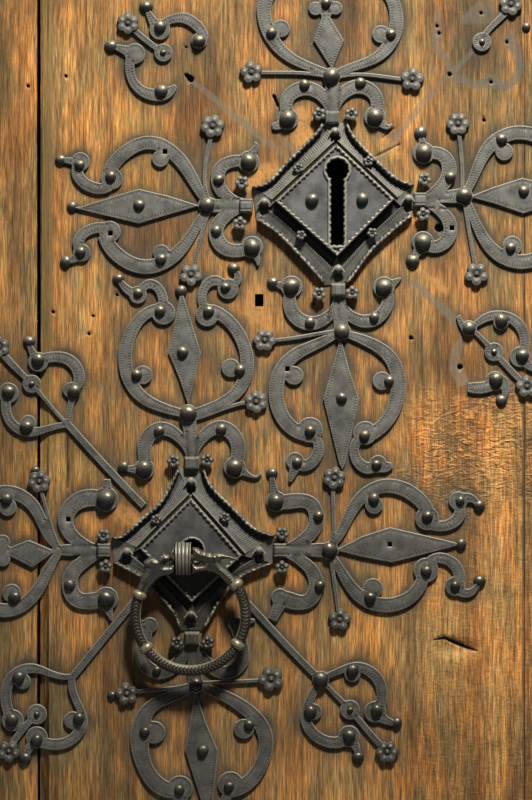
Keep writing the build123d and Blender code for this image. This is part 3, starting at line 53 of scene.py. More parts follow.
# Star centres on the leaf's outside face, X and Z in millimetres
STAR = {"lock": (76.0, 1296.0), "ring": (-66.0, 950.0)}
LILY_SIDES = ("top", "right", "bottom", "left")
LOCK_SCROLLS = ("nw_upper", "nw_lower", "se", "se_tail", "ne")
RING_SCROLLS = ("nw", "sw", "se")
# The plates' thickness, and a nail head's height as a share of its radius
PLATE_THICKNESS = 3.5
HEAD_RISE = 0.78

# Spots of painted shade on the iron, under the hook, about the ring's lower half and over the lower door: X,
# Z, reach and strength
PAINTED_SHADE_SPOTS = ((-70.0, 915.0, 50.0, 0.62), (-66.0, 848.0, 75.0, 0.62), (70.0, 720.0, 340.0, 0.42))


# Meshes


def mesh_object(name, points, faces, values=None, smooth=True):
    """A new object from points in millimetres and a list of face arrays, with float attributes per point."""
    mesh = bpy.data.meshes.new(name)
    rows = [row for block in faces for row in np.asarray(block).tolist()]
    mesh.from_pydata((np.asarray(points) * MM).tolist(), [], rows)
    mesh.validate()
    for key, column in (values or {}).items():
        attribute = mesh.attributes.new(key, "FLOAT", "POINT")
        attribute.data.foreach_set("value", np.asarray(column, dtype=np.float32))
    mesh.polygons.foreach_set("use_smooth", np.full(len(mesh.polygons), smooth))
    mesh.update()
    piece = bpy.data.objects.new(name, mesh)
    bpy.context.scene.collection.objects.link(piece)
    return piece


class Gathered:
    """Several surfaces gathered into one mesh, each with the same named values per point."""

    def __init__(self):
        self.points = []
        self.faces = []
        self.values = {}
        self.count = 0

    def add(self, points, faces, **values):
        """Take in a surface: points (N, 3), a face array or a list of them, and values by name."""
        points = np.asarray(points, dtype=float).reshape(-1, 3)
        blocks = faces if isinstance(faces, list) else [faces]
        self.faces += [np.asarray(block) + self.count for block in blocks if len(block)]
        self.points.append(points)
        for key in dict.fromkeys([*self.values, *values]):
            column = np.broadcast_to(np.asarray(values.get(key, 0.0), dtype=float), (len(points),))
            self.values.setdefault(key, [np.zeros(self.count)] if self.count else [])
            self.values[key].append(column)
        self.count += len(points)

    def object(self, name):
        """The gathered mesh as one object."""
        values = {key: np.concatenate(columns) for key, columns in self.values.items()}
        return mesh_object(name, np.concatenate(self.points), self.faces, values)


def grid_quads(rows, columns, close_columns=False, flip=False):
    """Quads of a grid of points numbered row by row, its columns closed round where that is asked."""
    i = np.arange(rows - 1)
    j = np.arange(columns if close_columns else columns - 1)
    i, j = (a.ravel() for a in np.meshgrid(i, j, indexing="ij"))
    after = (j + 1) % columns
    corners = [i * columns + j, (i + 1) * columns + j, (i + 1) * columns + after, i * columns + after]
    quads = np.stack(corners, axis=1)
    return quads[:, ::-1] if flip else quads


def grid_parameters(rows, columns, low=0.0):
    """The two parameters of a grid of points numbered row by row, each from the low value to 1."""
    grids = np.meshgrid(np.linspace(low, 1, rows), np.linspace(low, 1, columns), indexing="ij")
    return [grid.ravel() for grid in grids]


def lattice(xs, zs):
    """The points of a flat lattice, from its X values and its Z values."""
    x, z = np.meshgrid(xs, zs)
    return np.stack([x.ravel(), z.ravel()], axis=1)


def raised(flat, height):
    """Points that stand so high in front of the leaf's face, from their X and Z."""
    columns = np.broadcast_arrays(flat[..., 0], -np.asarray(height), flat[..., 1])
    return np.stack(columns, axis=-1).reshape(-1, 3)


def unit(vectors):
    """Vectors divided by their own lengths."""
    return vectors / (np.linalg.norm(vectors, axis=-1, keepdims=True) + 1e-12)


def crossways(vectors):
    """Flat vectors given a quarter turn to the left."""
    return np.stack([-vectors[:, 1], vectors[:, 0]], axis=1)


def bell(value, middle, width):
    """A bell curve: e to the minus square of the distance from the middle, in widths."""
    return np.exp(-(((value - middle) / width) ** 2))


def smooth_noise(x, z, size, seed):
    """Value noise on a square lattice of the given cell size, blended with a smooth step, from -1 to 1."""
    cells = 64
    table = np.random.default_rng(seed).uniform(-1, 1, (cells, cells))
    u, v = np.asarray(x) / size, np.asarray(z) / size
    iu, iv = np.floor(u).astype(int), np.floor(v).astype(int)
    fu, fv = (f * f * (3 - 2 * f) for f in (u - iu, v - iv))
    a, b, c, d = (table[(iu + m) % cells, (iv + n) % cells] for n in (0, 1) for m in (0, 1))
    return (a * (1 - fu) + b * fu) * (1 - fv) + (c * (1 - fu) + d * fu) * fv


def spline_points(points, count):
    """A Catmull-Rom curve through the points, sampled evenly in its parameter."""
    points = np.asarray(points, dtype=float)
    padded = np.vstack([2 * points[0] - points[1], points, 2 * points[-1] - points[-2]])
    t = np.linspace(0, len(points) - 1 - 1e-9, count)
    k = t.astype(int)
    f = (t - k)[:, None]
    p0, p1, p2, p3 = (padded[k + n] for n in range(4))
    return 0.5 * (
        2 * p1 + (p2 - p0) * f + (2 * p0 - 5 * p1 + 4 * p2 - p3) * f**2 + (3 * p1 - p0 - 3 * p2 + p3) * f**3
    )


# Outlines of the frame's own nodes


def node_mesh(node):
    """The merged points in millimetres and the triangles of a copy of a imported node's mesh."""
    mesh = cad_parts[node].data
    points = np.empty(len(mesh.vertices) * 3)
    mesh.vertices.foreach_get("co", points)
    points = points.reshape(-1, 3) / MM
    mesh.calc_loop_triangles()
    corners = np.empty(len(mesh.loop_triangles) * 3, dtype=int)
    mesh.loop_triangles.foreach_get("vertices", corners)
    keys, merged = np.unique(np.round(points * 200).astype(int), axis=0, return_inverse=True)
    triangles = merged.ravel()[corners.reshape(-1, 3)]
    whole = (triangles[:, 0] != triangles[:, 1]) & (triangles[:, 1] != triangles[:, 2])
    whole &= triangles[:, 0] != triangles[:, 2]
    return keys / 200.0, triangles[whole]


def front_loops(node, face=None):
    """The closed outlines of a node's front face, as arrays of X and Z in millimetres.

    The face is the foremost one, or the one that stands so far in front of the leaf. The edges that only
    one of its triangles uses are chained end to end.
    """
    points, triangles = node_mesh(node)
    level = points[:, 1].min() if face is None else -face
    front = np.abs(points[:, 1] - level) < 0.02
    triangles = triangles[front[triangles].all(axis=1)]
    edges = np.vstack([triangles[:, [0, 1]], triangles[:, [1, 2]], triangles[:, [2, 0]]])
    both, counts = np.unique(np.sort(edges, axis=1), axis=0, return_counts=True)
    neighbours = {}
    for a, b in both[counts == 1].tolist():
        neighbours.setdefault(a, []).append(b)
        neighbours.setdefault(b, []).append(a)
    loops = []
    left = set(neighbours)
    while left:
        loop = [min(left)]
        left.discard(loop[0])
        while True:
            following = [n for n in neighbours[loop[-1]] if n in left]
            if not following:
                break
            loop.append(following[0])
            left.discard(following[0])
        if len(loop) > 2:
            loops.append(points[loop][:, [0, 2]])
    return loops


def length_run(path):
    """The length run along a path up to each of its points."""
    return np.concatenate([[0], np.cumsum(np.linalg.norm(np.diff(path, axis=0), axis=1))])


def at_lengths(path, run, at):
    """Points of X and Z at the given lengths along a path, whose own length run is known."""
    return np.stack([np.interp(at, run, path[:, 0]), np.interp(at, run, path[:, 1])], axis=1)


def resample(loop, step):
    """A closed outline with points evenly spaced along its length, their number a multiple of four."""
    closed = np.vstack([loop, loop[:1]])
    run = length_run(closed)
    count = max(8, 4 * int(round(run[-1] / step / 4)))
    return at_lengths(closed, run, np.linspace(0, run[-1], count, endpoint=False))


def blocks_by_height(points, size=600):
    """Indices of the points sorted by their second value, cut into blocks."""
    order = np.argsort(points[:, 1], kind="stable")
    return [order[k : k + size] for k in range(0, len(order), size)]


def inside(points, loops):
    """Even-odd test of points against closed outlines, by blocks over the edges that each block meets."""
    a = np.vstack(loops)
    b = np.vstack([np.roll(loop, -1, axis=0) for loop in loops])
    low = np.minimum(a[:, 1], b[:, 1])
    high = np.maximum(a[:, 1], b[:, 1])
    result = np.zeros(len(points), dtype=bool)
    for block in blocks_by_height(points):
        part = points[block]
        near = (low <= part[:, 1].max()) & (high >= part[:, 1].min())
        p, q = a[near], b[near]
        z = part[:, 1:]
        spans = (p[None, :, 1] > z) != (q[None, :, 1] > z)
        rise = np.where(q[:, 1] == p[:, 1], 1e-9, q[:, 1] - p[:, 1])
        at = p[None, :, 0] + (z - p[None, :, 1]) * ((q[:, 0] - p[:, 0]) / rise)[None, :]
        result[block] = (spans & (part[:, :1] < at)).sum(axis=1) % 2 == 1
    return result


def border_distance(points, border, limit=7.0):
    """Distance from each point to the nearest border point, no more than the limit."""
    border = border[np.argsort(border[:, 1])]
    result = np.full(len(points), limit)
    for block in blocks_by_height(points):
        part = points[block]
        first = np.searchsorted(border[:, 1], part[:, 1].min() - limit)
        last = np.searchsorted(border[:, 1], part[:, 1].max() + limit)
        if last > first:
            gaps = ((part[:, None, :] - border[None, first:last, :]) ** 2).sum(axis=2).min(axis=1)
            result[block] = np.minimum(np.sqrt(gaps), limit)
    return result


def segment_distance(points, start, end):
    """Distance from points to a segment, and how far along it, from 0 to 1, the nearest place lies."""
    along = np.subtract(end, start, dtype=float)
    square = max(float(along @ along), 1e-9)
    t = np.clip(((points - start) @ along) / square, 0, 1)
    return np.linalg.norm(points - start - t[:, None] * along, axis=1), t


def path_distance(points, path):
    """Signed distance from points to the edge of a path of X, Z and width, negative inside."""
    result = np.full(len(points), 1e3)
    path = path if len(path) > 1 else path * 2
    for (x0, z0, w0), (x1, z1, w1) in zip(path[:-1], path[1:]):
        off, t = segment_distance(points, (x0, z0), (x1, z1))
        result = np.minimum(result, off - (w0 + (w1 - w0) * t) / 2)
    return result


def facing(points, faces, sign):
    """Faces wound so that their normals point to the front, with -1, or to the back, with 1."""
    a, b, c = (points[faces[:, n]] for n in range(3))
    turned = np.cross(b - a, c - a)[:, 1] * sign < 0
    faces = faces.copy()
    faces[turned] = faces[turned][:, ::-1]
    return faces


def filled(points, loops):
    """Delaunay triangles over points that begin with the outlines' own, inside the outlines.

    The outlines' edges are kept. The last value is each point's number in the points given, or -1.
    """
    edges, first = [], 0
    for loop in loops:
        edges += [(first + k, first + (k + 1) % len(loop)) for k in range(len(loop))]
        first += len(loop)
    result = delaunay_2d_cdt([Vector(p) for p in points.tolist()], edges, [], 0, 1e-5)
    flat = np.array([tuple(v) for v in result[0]])
    source = np.array([s[0] if s else -1 for s in result[3]])
    faces = np.array(result[2])
    return flat, faces[inside(flat[faces].mean(axis=1), loops)], source


def inward_normals(loop, loops):
    """Unit normals of an outline that point to the filled side."""
    normals = crossways(unit(np.roll(loop, -1, axis=0) - np.roll(loop, 1, axis=0)))
    votes = inside(loop[::5] + normals[::5] * 0.15, loops).mean()
    return normals if votes > 0.5 else -normals


# Forged plates


def relief(gathered, loops, rows, top, step, base=0.0, fill=3.2, hammer=0.0, creases=(), seed=0):
    """A plate whose front follows rows at set distances inside its outlines.

    Each row gives its distance, height, height of the wave along the outline, wear and dirt. The wave is
    a cosine of the length run with a period of four steps. A row's point is kept only where the nearest
    outline is truly that far away, and a small hole has only the rows at its very edge. The face inside
    the rows lies at the top height with a smooth noise, and each crease, a segment with a width, presses
    a round groove into it. A plain back closes the plate.
    """
    small_hole, groove_depth = 24, 0.7
    loops = [resample(loop, step) for loop in loops]
    border = np.vstack(loops)
    normals = [inward_normals(loop, loops) for loop in loops]
    crests = [np.cos(np.arange(len(loop)) * (math.pi / 2)) for loop in loops]
    points, values, need = [], [], []
    for depth, height, wave, wear, dirt in rows:
        for loop, inward, crest in zip(loops, normals, crests):
            if depth > 1.0 and len(loop) * step < small_hole:
                continue
            points.append(loop + inward * depth)
            pressed = np.maximum(crest, 0)
            tall = height + wave * (pressed if dirt else crest)
            values.append(np.stack([tall, np.full(len(loop), wear), dirt * pressed], axis=1))
            need.append(np.full(len(loop), depth * 0.93))
    low, high = border.min(axis=0), border.max(axis=0)
    x, z = np.meshgrid(np.arange(low[0], high[0], fill), np.arange(low[1], high[1], fill))
    x = x + (fill / 2) * (np.arange(x.shape[0]) % 2)[:, None]
    points.append(np.stack([x.ravel(), z.ravel()], axis=1))
    values.append(np.tile([top, 0.0, 0.0], (x.size, 1)))
    need.append(np.full(x.size, rows[-1][0] + fill * 0.3))
    points, values = np.vstack(points), np.vstack(values)
    gaps = border_distance(points, border)
    keep = (gaps >= np.concatenate(need)) & inside(points, loops)
    keep[: len(border)] = True
    points, values, gaps = points[keep], values[keep], gaps[keep]
    flat, faces, source = filled(points, loops)
    values = np.where(source[:, None] >= 0, values[source], [top, 0.0, 0.0])
    gaps = np.where(source >= 0, gaps[source], 0)
    height = values[:, 0] + hammer * smooth_noise(flat[:, 0], flat[:, 1], 8.0, seed) * np.clip(gaps / 3, 0, 1)
    dirt = values[:, 2]
    for x0, z0, x1, z1, width in creases:
        off, _ = segment_distance(flat, (x0, z0), (x1, z1))
        groove = np.clip(1 - (off / width) ** 2, 0, 1)
        height = height - groove_depth * groove
        dirt = np.maximum(dirt, groove * 0.8)
    front = raised(flat, base + height)
    gathered.add(front, facing(front, faces, -1), wear=values[:, 1], dirt=dirt)
    for loop, inward, crest in zip(loops, normals, crests):
        rim = raised(loop, base + rows[0][1] + rows[0][2] * crest)
        flip = (crossways(np.roll(loop, -1, axis=0) - loop) * inward).sum() > 0
        quads = grid_quads(2, len(loop), close_columns=True, flip=flip)
        dirt = np.repeat([0.15, 1.0], len(loop))
        gathered.add(np.vstack([rim, raised(loop, base)]), quads, wear=0.1, dirt=dirt)
    flat, faces, source = filled(border, loops)
    under = raised(flat, base)
    gathered.add(under, facing(under, faces, 1), wear=0.0, dirt=1.0)


def chased_rows(settings):
    """Rows of a chased border: a worn round edge, then a band of ticks across it."""
    worn = settings.worn_edge
    start = settings.tick_inset
    end = start + settings.tick_length
    deep = -settings.tick_depth
    top = PLATE_THICKNESS
    return [
        (0.0, top - worn, 0.0, 0.4, 0.0), (worn * 0.3, top - worn * 0.3, 0.0, 0.6, 0.0),
        (worn, top, 0.0, 0.15, 0.0), (start, top, 0.0, 0.0, 0.0), (start + 0.35, top, deep, 0.0, 0.9),
        ((start + end) / 2, top, deep, 0.0, 0.9), (end - 0.35, top, deep, 0.0, 0.9),
        (end, top, 0.0, 0.05, 0.0),
    ]


# Small turned and stamped pieces


def domes(gathered, places, rows=11, columns=22, seed=3):
    """Forged nail heads at places of X, Z, radius, base height and head height.

    Each is a grid: the ring radius is the head's radius times the sine of the row angle, the height is the
    head height times its cosine, and smooth waves round the head flatten it a little, as a hammer does. The
    last row turns in under the head. The upper side is lightened as a painted highlight and the lower side
    and the foot darkened as painted shade, and the highlight is brighter towards the top of the door.
    """
    dull_below, bright_over = 800, 350
    places = np.asarray(places, dtype=float)
    rng = np.random.default_rng(seed)
    count = len(places)
    angle = np.linspace(0.02, math.pi / 2, rows - 1)
    ring = np.concatenate([np.sin(angle) ** 0.92, [0.97]])[:, None]
    rise = np.concatenate([np.cos(angle) ** 0.95, [-0.16]])[:, None]
    turn = np.linspace(0, math.tau, columns, endpoint=False)
    phase = rng.uniform(0, 6.28, (count, 3, 1, 1))
    flats = 1 + 0.030 * np.cos(2 * turn + phase[:, 0])
    flats = flats + 0.022 * np.cos(3 * turn + phase[:, 1] + 3 * angle.mean())
    lean = rng.uniform(-0.07, 0.07, (count, 2, 1, 1))
    x0, z0, radius, foot, tall = places.T[:, :, None, None]
    spread = radius * ring * flats
    height = tall * rise * np.ones(columns)
    x = x0 + spread * np.cos(turn) + lean[:, 0] * height
    z = z0 + spread * np.sin(turn) + lean[:, 1] * height
    dent = 0.12 * np.cos(3 * x + 2 * z) * (rise > 0)
    points = np.stack([x, -(foot + height + dent), z], axis=-1).reshape(-1, 3)
    first = np.arange(count) * rows * columns
    quads = grid_quads(rows, columns, close_columns=True, flip=True)
    faces = (quads[None] + first[:, None, None]).reshape(-1, 4)
    caps = (np.arange(columns)[None, :] + first[:, None])[:, ::-1]
    # Painted light: the upper side is lightened as a highlight and the lower side and the foot darkened as
    # shade; the highlight is brighter towards the top of the door.
    above = ring * np.sin(turn)
    skirt = np.concatenate([np.linspace(0, 1, rows - 1) ** 8, [1.0]])[:, None]
    dirt = np.tile(np.clip(np.maximum(skirt, 0.05 - 0.95 * above), 0, 1).ravel(), count)
    wear = np.tile(np.clip((0.05 + 0.75 * above) * (1 - skirt), 0, 1).ravel(), count)
    wear = wear * np.clip((z.ravel() - dull_below) / bright_over, 0.25, 1)
    gathered.add(points, [faces, caps], wear=wear, dirt=dirt)


def rosette(gathered, x, z, radius, petals, turn, base, thick, rings=16, columns=80):
    """A stamped rosette of round domed petals about a centre pin.

    It is a polar grid. The outline is the union of circles of 0.40 of the radius set at 0.60 of it; the
    height falls as the square of the distance from each petal's middle and dips in a ring round the pin.
    The dips are darkened, the more on the lower star as painted shade, and the upper petals lightened as a
    painted highlight.
    """
    lower_star = z < 1060
    theta = np.linspace(0, math.tau, columns, endpoint=False)
    off = ((theta * petals / math.tau) % 1.0 - 0.5) * math.tau / petals
    centre, petal = 0.60 * radius, 0.40 * radius
    side = np.clip(petal**2 - (centre * np.sin(off)) ** 2, 0, None)
    reach = np.maximum(np.where(side > 0, centre * np.cos(off) + np.sqrt(side), petal), petal)
    t = np.linspace(0.0, 1.0, rings)[1:, None]
    run = t * reach
    petal_gap = np.sqrt((run * np.cos(off) - centre) ** 2 + (run * np.sin(off)) ** 2) / petal
    middle = run / radius
    edge = np.clip((t - 0.86) / 0.14, 0, 1)
    height = thick - 0.8 * (1 - np.sqrt(1 - edge**2 * 0.98)) + 0.2 - 0.5 * np.minimum(petal_gap, 1.2) ** 2
    height = height + 0.9 * bell(petal_gap, 0, 0.30)
    height = height + 2.0 * bell(middle, 0, 0.14) - 0.9 * bell(middle, 0.28, 0.08)
    dirt = 0.9 * bell(middle, 0.28, 0.08) + 0.8 * np.clip((petal_gap - 0.8) / 0.3, 0, 1)
    # Painted shade: the lower star's dips are darker.
    dirt = np.clip(dirt + (0.5 if lower_star else 0.15) * bell(petal_gap, 0.55, 0.2), 0, 1)
    # Painted highlight: the upper petals are lighter.
    wear = (0.6 + 0.4 * np.sin(theta + turn)) * bell(petal_gap, 0, 0.35) + 0.4 * bell(middle, 0, 0.12)
    foot = np.zeros((1, columns))
    height, run = np.vstack([height, foot]), np.vstack([run, run[-1:]])
    dirt, wear = np.vstack([dirt, foot + 1]), np.vstack([np.clip(wear, 0, 1), foot])
    px, pz = x + run * np.cos(theta + turn), z + run * np.sin(theta + turn)
    points = np.stack([px, -(base + height), pz], axis=-1).reshape(-1, 3)
    points = np.vstack([points, [[x, -(base + thick + 1.2), z]]])
    quads = grid_quads(rings, columns, close_columns=True, flip=True)
    ring = np.arange(columns)
    hub = np.stack([np.full(columns, rings * columns), (ring + 1) % columns, ring], axis=1)
    gathered.add(points, [quads, hub], wear=np.append(wear.ravel(), 0.8), dirt=np.append(dirt.ravel(), 0))


def tube(gathered, path, radii, columns, wear):
    """A rod along a path of X, Y, Z points with a radius at each: rings square to it, closed at its ends."""
    path = np.asarray(path, dtype=float)
    ahead = unit(np.gradient(path, axis=0))
    side = unit(np.cross(ahead, [0.0, -1.0, 0.0]))
    up = np.cross(side, ahead)
    turn = np.linspace(0, math.tau, columns, endpoint=False)[None, :, None]
    ring = np.cos(turn) * side[:, None, :] + np.sin(turn) * up[:, None, :]
    points = path[:, None, :] + np.asarray(radii)[:, None, None] * ring
    quads = grid_quads(len(path), columns, close_columns=True)
    caps = [np.arange(columns)[None, ::-1], (len(path) - 1) * columns + np.arange(columns)[None, :]]
    gathered.add(points.reshape(-1, 3), [quads] + caps, wear=wear, dirt=0.0)


# The two star frames, in X and Z from each star's centre

STAR_SIDES = {
    "lock": [
        [(-82, 17), (-67, 22), (-47, 43), (-19, 71), (-12, 81)],
        [(13, 81), (21, 67), (43, 44), (63, 26), (80, 19)],
        [(78, -13), (63, -25), (38, -48), (18, -75), (12, -81)],
        [(-11, -81), (-17, -73), (-37, -51), (-57, -31), (-77, -17)],
    ],
    "ring": [
        [(-80, 13), (-70, 15), (-50, 33), (-30, 52), (-14, 82)],
        [(12, 82), (20, 65), (40, 45), (63, 23), (83, 15)],
        [(81, -13), (50, -27), (30, -50), (18, -70), (12, -80)],
        [(-12, -80), (-18, -65), (-32, -48), (-52, -28), (-78, -13)],
    ],
}
STAR_DIAMOND = {
    "lock": [(-59, 2), (2, 59), (60, 4), (3, -53)],
    "ring": [(-52, 2), (-1, 53), (50, -5), (0, -52)],
}
# A side's profile from its hollow outline inwards: distance, height, share of the sway, wear, and darkness,
# which at the rim's foot and in the channel inside it is painted shadow
RIM_ROWS = (
    (0.0, 0.0, 0.0, 0.0, 1.0), (0.05, 6.8, 0.1, 0.3, 0.3), (0.5, 8.0, 0.1, 0.6, 0.0),
    (1.6, 8.5, 0.3, 0.7, 0.0), (2.7, 8.3, 0.8, 0.6, 0.0), (3.5, 7.2, 1.0, 0.2, 0.4),
    (3.8, 2.2, 1.0, 0.0, 1.0), (4.8, 1.5, 0.0, 0.0, 1.0), (5.8, 1.5, 0.0, 0.0, 0.9),
)
# Its bead beside the diamond: distance back from the diamond, height, wear, and darkness, which on the ledge
# beside the diamond is painted shadow
BEAD_ROWS = (
    (5.2, 5.9, 0.1, 0.0), (4.7, 7.2, 0.4, 0.0), (4.1, 7.9, 0.5, 0.0), (3.4, 7.3, 0.3, 0.0),
    (3.0, 5.9, 0.0, 0.7), (1.5, 5.4, 0.0, 0.9), (0.0, 5.2, 0.0, 1.0), (0.0, 0.0, 0.0, 1.0),
)
# Between them the channel's height, the band's ends from the outline and from the diamond, and the grid
CHANNEL = 2.2
BAND_START, BAND_END = 5.9, 5.4
SIDE_STEP = 0.72
BAND_COLUMNS = 26

# The small fittings: a collar's third value is 1 where it stands upright
COLLARS = {
    "lock": [(-2, 86, 0), (-88, -2, 1), (4, -86, 0), (86, 4, 1)],
    "ring": [(0, 87, 0), (-88, 0, 1), (0, -88, 0), (88, 0, 1)],
}
CORNER_STUDS = {
    "lock": [(1, 70), (-70, 0), (74, 3), (4, -67)],
    "ring": [(-1, 67), (-65, -3), (67, -2), (-1, -66)],
}
RIM_ENDS = {
    "lock": [(-15, 89), (17, 89), (-92, 21), (-94, -20), (-15, -90), (18, -89), (90, 24), (89, -11)],
    "ring": [(-18, 89), (15, 90), (-88, 15), (-86, -16), (90, 17), (90, -17), (-15, -92), (16, -92)],
}


def cavity(star, x, z):
    """How far points lie inside the open pockets under a star's curled corner studs, from 0 to 1."""
    result = np.zeros(np.shape(x))
    for stud_x, stud_z in CORNER_STUDS[star]:
        inside_pocket = 1 - ((x - stud_x) / 4.8) ** 2 - ((z - stud_z + 6.5) / 6.0) ** 2
        result = np.maximum(result, np.clip(3 * inside_pocket, 0, 1))
    return result


def side_by_side(count, *blocks):
    """Blocks of columns joined into one grid, a block of one row being repeated all along."""
    return np.hstack([np.broadcast_to(block, (count, block.shape[-1])) for block in blocks])


def star_side(gathered, star, k, tick_spacing):
    """One folded side of a star: a ruled surface from its hollow outline to the diamond's edge.

    Across it runs a profile in millimetres from the outline: an upstanding rim that wavers as a sum of
    sines of the length run, a channel darkened as the rim's painted shadow, a band rising to the diamond
    with punched ticks, a bead and a ledge darkened as the diamond's painted shadow. The two lower sides fall
    instead into a channel beside the diamond painted black as its shadow, and the pockets under the corner
    studs are sunk and painted black as their shadow.
    """
    side, diamond = STAR_SIDES[star][k], np.array(STAR_DIAMOND[star], dtype=float)
    is_lower = float(np.mean(side, axis=0)[1] < 0)
    curve = spline_points(side, 600)
    run = length_run(curve)
    count = int(run[-1] / SIDE_STEP)
    at = np.linspace(0, run[-1], count)
    outer = at_lengths(curve, run, at)
    at = at[:, None]
    inner = diamond[k] + (diamond[(k + 1) % 4] - diamond[k]) * (at / run[-1])
    width = np.linalg.norm(inner - outer, axis=1)[:, None]
    waver = 0.55 * np.sin(math.tau * at / 6.4 + k) + 0.35 * np.sin(math.tau * at / 3.9 + 2 * k)
    lift = 0.35 * np.sin(math.tau * at / 5.1 + 1.3 * k)
    blotch = 0.55 + 0.45 * np.sign(smooth_noise(outer[:, 0], outer[:, 1], 4.5, 7 + k) - 0.05)[:, None]
    fade = np.clip(np.minimum(at, run[-1] - at) / 1.5, 0.25, 1)
    off, high, sway, wear, dirt = np.array(RIM_ROWS).T
    high = np.where(high > CHANNEL, CHANNEL + (high - CHANNEL + lift) * fade, high)
    rim = off + waver * sway, high, wear * blotch, dirt
    u = np.arange(BAND_COLUMNS) / (BAND_COLUMNS - 1)
    tick = np.maximum(np.cos(math.tau * at / tick_spacing), 0) * ((0.34 < u) & (u < 0.72))
    # The lower sides' band sinks next to the diamond and is painted black as its shadow.
    deep = np.clip((u - 0.66) / 0.06, 0, 1) * is_lower
    # Painted shadow of the rim: on the upper sides the band is darkened next to the channel.
    painted_rim_shadow = 0.8 * np.clip((0.30 - u) / 0.12, 0, 1) * (1 - is_lower)
    high = (1.5 + 4.2 * u - 0.6 * tick) * (1 - 0.8 * deep)
    wear = np.full(BAND_COLUMNS, 0.05)
    across = BAND_START + (width - BAND_END - BAND_START) * u
    band = across, high, wear, np.maximum(tick * 0.9 + painted_rim_shadow, deep)
    off, high, wear, dirt = np.array(BEAD_ROWS).T
    # On the lower sides the bead is flattened, loses its light ridge and is painted black as the diamond's
    # shadow.
    bead = width - off, high * (1 - 0.8 * is_lower), wear * (1 - is_lower), np.maximum(dirt, is_lower)
    across, high, wear, dirt = (side_by_side(count, *blocks) for blocks in zip(rim, band, bead))
    flat = outer[:, None, :] + (inner - outer)[:, None, :] * (across / width)[:, :, None]
    high = high + 0.15 * smooth_noise(flat[:, :, 0], flat[:, :, 1], 6.0, k) * (high > 1)
    # The pockets under the corner studs are sunk and painted black as the studs' shadow.
    dark = cavity(star, flat[:, :, 0], flat[:, :, 1]) * (high > 1) * (high < 6)
    points = raised(flat + STAR[star], high - dark * np.clip(high - 0.6, 0, 3.2))
    quads = grid_quads(count, across.shape[1], flip=True)
    wear, dirt = wear * (1 - dark), np.maximum(dirt, dark)
    gathered.add(points, quads, wear=wear.ravel(), dirt=dirt.ravel())


def star_neck(gathered, star, k, rows=40, columns=24):
    """The short neck at a star's corner: a ruled surface from between two sides to the diamond's corner.

    It is a grid whose height rises with u, from the neck's edge inwards, and dips as a sine of v along it.
    """
    sides, diamond = STAR_SIDES[star], STAR_DIAMOND[star]
    end, start = np.array(sides[k][-1], dtype=float), np.array(sides[(k + 1) % 4][0], dtype=float)
    corner = np.array(diamond[(k + 1) % 4], dtype=float)
    u, v = grid_parameters(rows, columns)
    edge = end + (start - end) * v[:, None]
    flat = edge + (corner - edge) * u[:, None]
    high = 2.2 + 3.4 * u - 1.0 * np.sin(math.pi * v) * (1 - u)
    # The pockets under the corner studs are sunk and painted black as the studs' shadow.
    dark = cavity(star, flat[:, 0], flat[:, 1]) * (u > 0.02)
    points = raised(flat + STAR[star], high - dark * (high - 0.6))
    faces = facing(points, grid_quads(rows, columns), -1)
    gathered.add(points, faces, wear=0.1, dirt=np.maximum(dark, 0.2))
    foot = raised(edge[:columns] + STAR[star], 0.0)
    gathered.add(np.vstack([points[:columns], foot]), grid_quads(2, columns), wear=0.0, dirt=0.8)


def waved_rim(gathered, loop, inner, outer, low, high, period, swing):
    """A thin upstanding rim swept round an outline, its top swaying in and out as sines of the length run.

    The section is six points from the inner foot over the round top to the outer foot, each with its
    distance, height, share of the sway, wear and dirt.
    """
    step = 0.55
    loop = resample(loop, step)
    area = 0.5 * (loop[:, 0] * np.roll(loop[:, 1], -1) - loop[:, 1] * np.roll(loop[:, 0], -1)).sum()
    normal = crossways(unit(np.roll(loop, -1, axis=0) - np.roll(loop, 1, axis=0))) * (-1 if area > 0 else 1)
    whole = step * len(loop)
    run = math.tau * (np.arange(len(loop)) * step)
    turns = max(3, round(whole / period))
    sway = swing * np.sin(run * turns / whole) + 0.4 * swing * np.sin(run * round(turns * 1.7) / whole)
    lift = 0.35 * swing * np.cos(run * turns / whole)
    middle = (inner + outer) / 2
    section = (
        (inner, low, 1, 0.0, 0.9), (inner + 0.1, high - 0.8, 1, 0.3, 0.3), (middle - 0.6, high, 0.5, 0.55, 0),
        (middle + 0.6, high, 0.2, 0.55, 0), (outer - 0.2, high - 0.9, 0.1, 0.4, 0.2), (outer, low, 0, 0, 0.9),
    )
    points = [raised(loop + normal * (off + sway * moves)[:, None], tall + lift * moves)
              for off, tall, moves, _, _ in section]
    quads = grid_quads(len(section), len(loop), close_columns=True, flip=area > 0)
    wear, dirt = (np.repeat([row[n] for row in section], len(loop)) for n in (3, 4))
    gathered.add(np.vstack(points), quads, wear=wear, dirt=dirt)


def cushion(gathered, x, z, half_x, half_z, base, high, size=22):
    """A square collar with rounded edges and a groove: height falls with the ninth power of both sides."""
    u, v = grid_parameters(size, size, low=-1)
    tall = high * np.clip(1 - np.abs(u) ** 9, 0, 1) ** 0.5 * np.clip(1 - np.abs(v) ** 9, 0, 1) ** 0.5
    groove = bell(np.abs(v if half_z >= half_x else u), 0.55, 0.10)
    tall = tall - 0.9 * groove * (tall > 0.5)
    points = np.stack([x + half_x * u, -(base + tall), z + half_z * v], axis=1)
    faces = facing(points, grid_quads(size, size), -1)
    gathered.add(points, faces, wear=(tall < high * 0.9) * 0.5, dirt=0.7 * groove)


# Marks in the planks


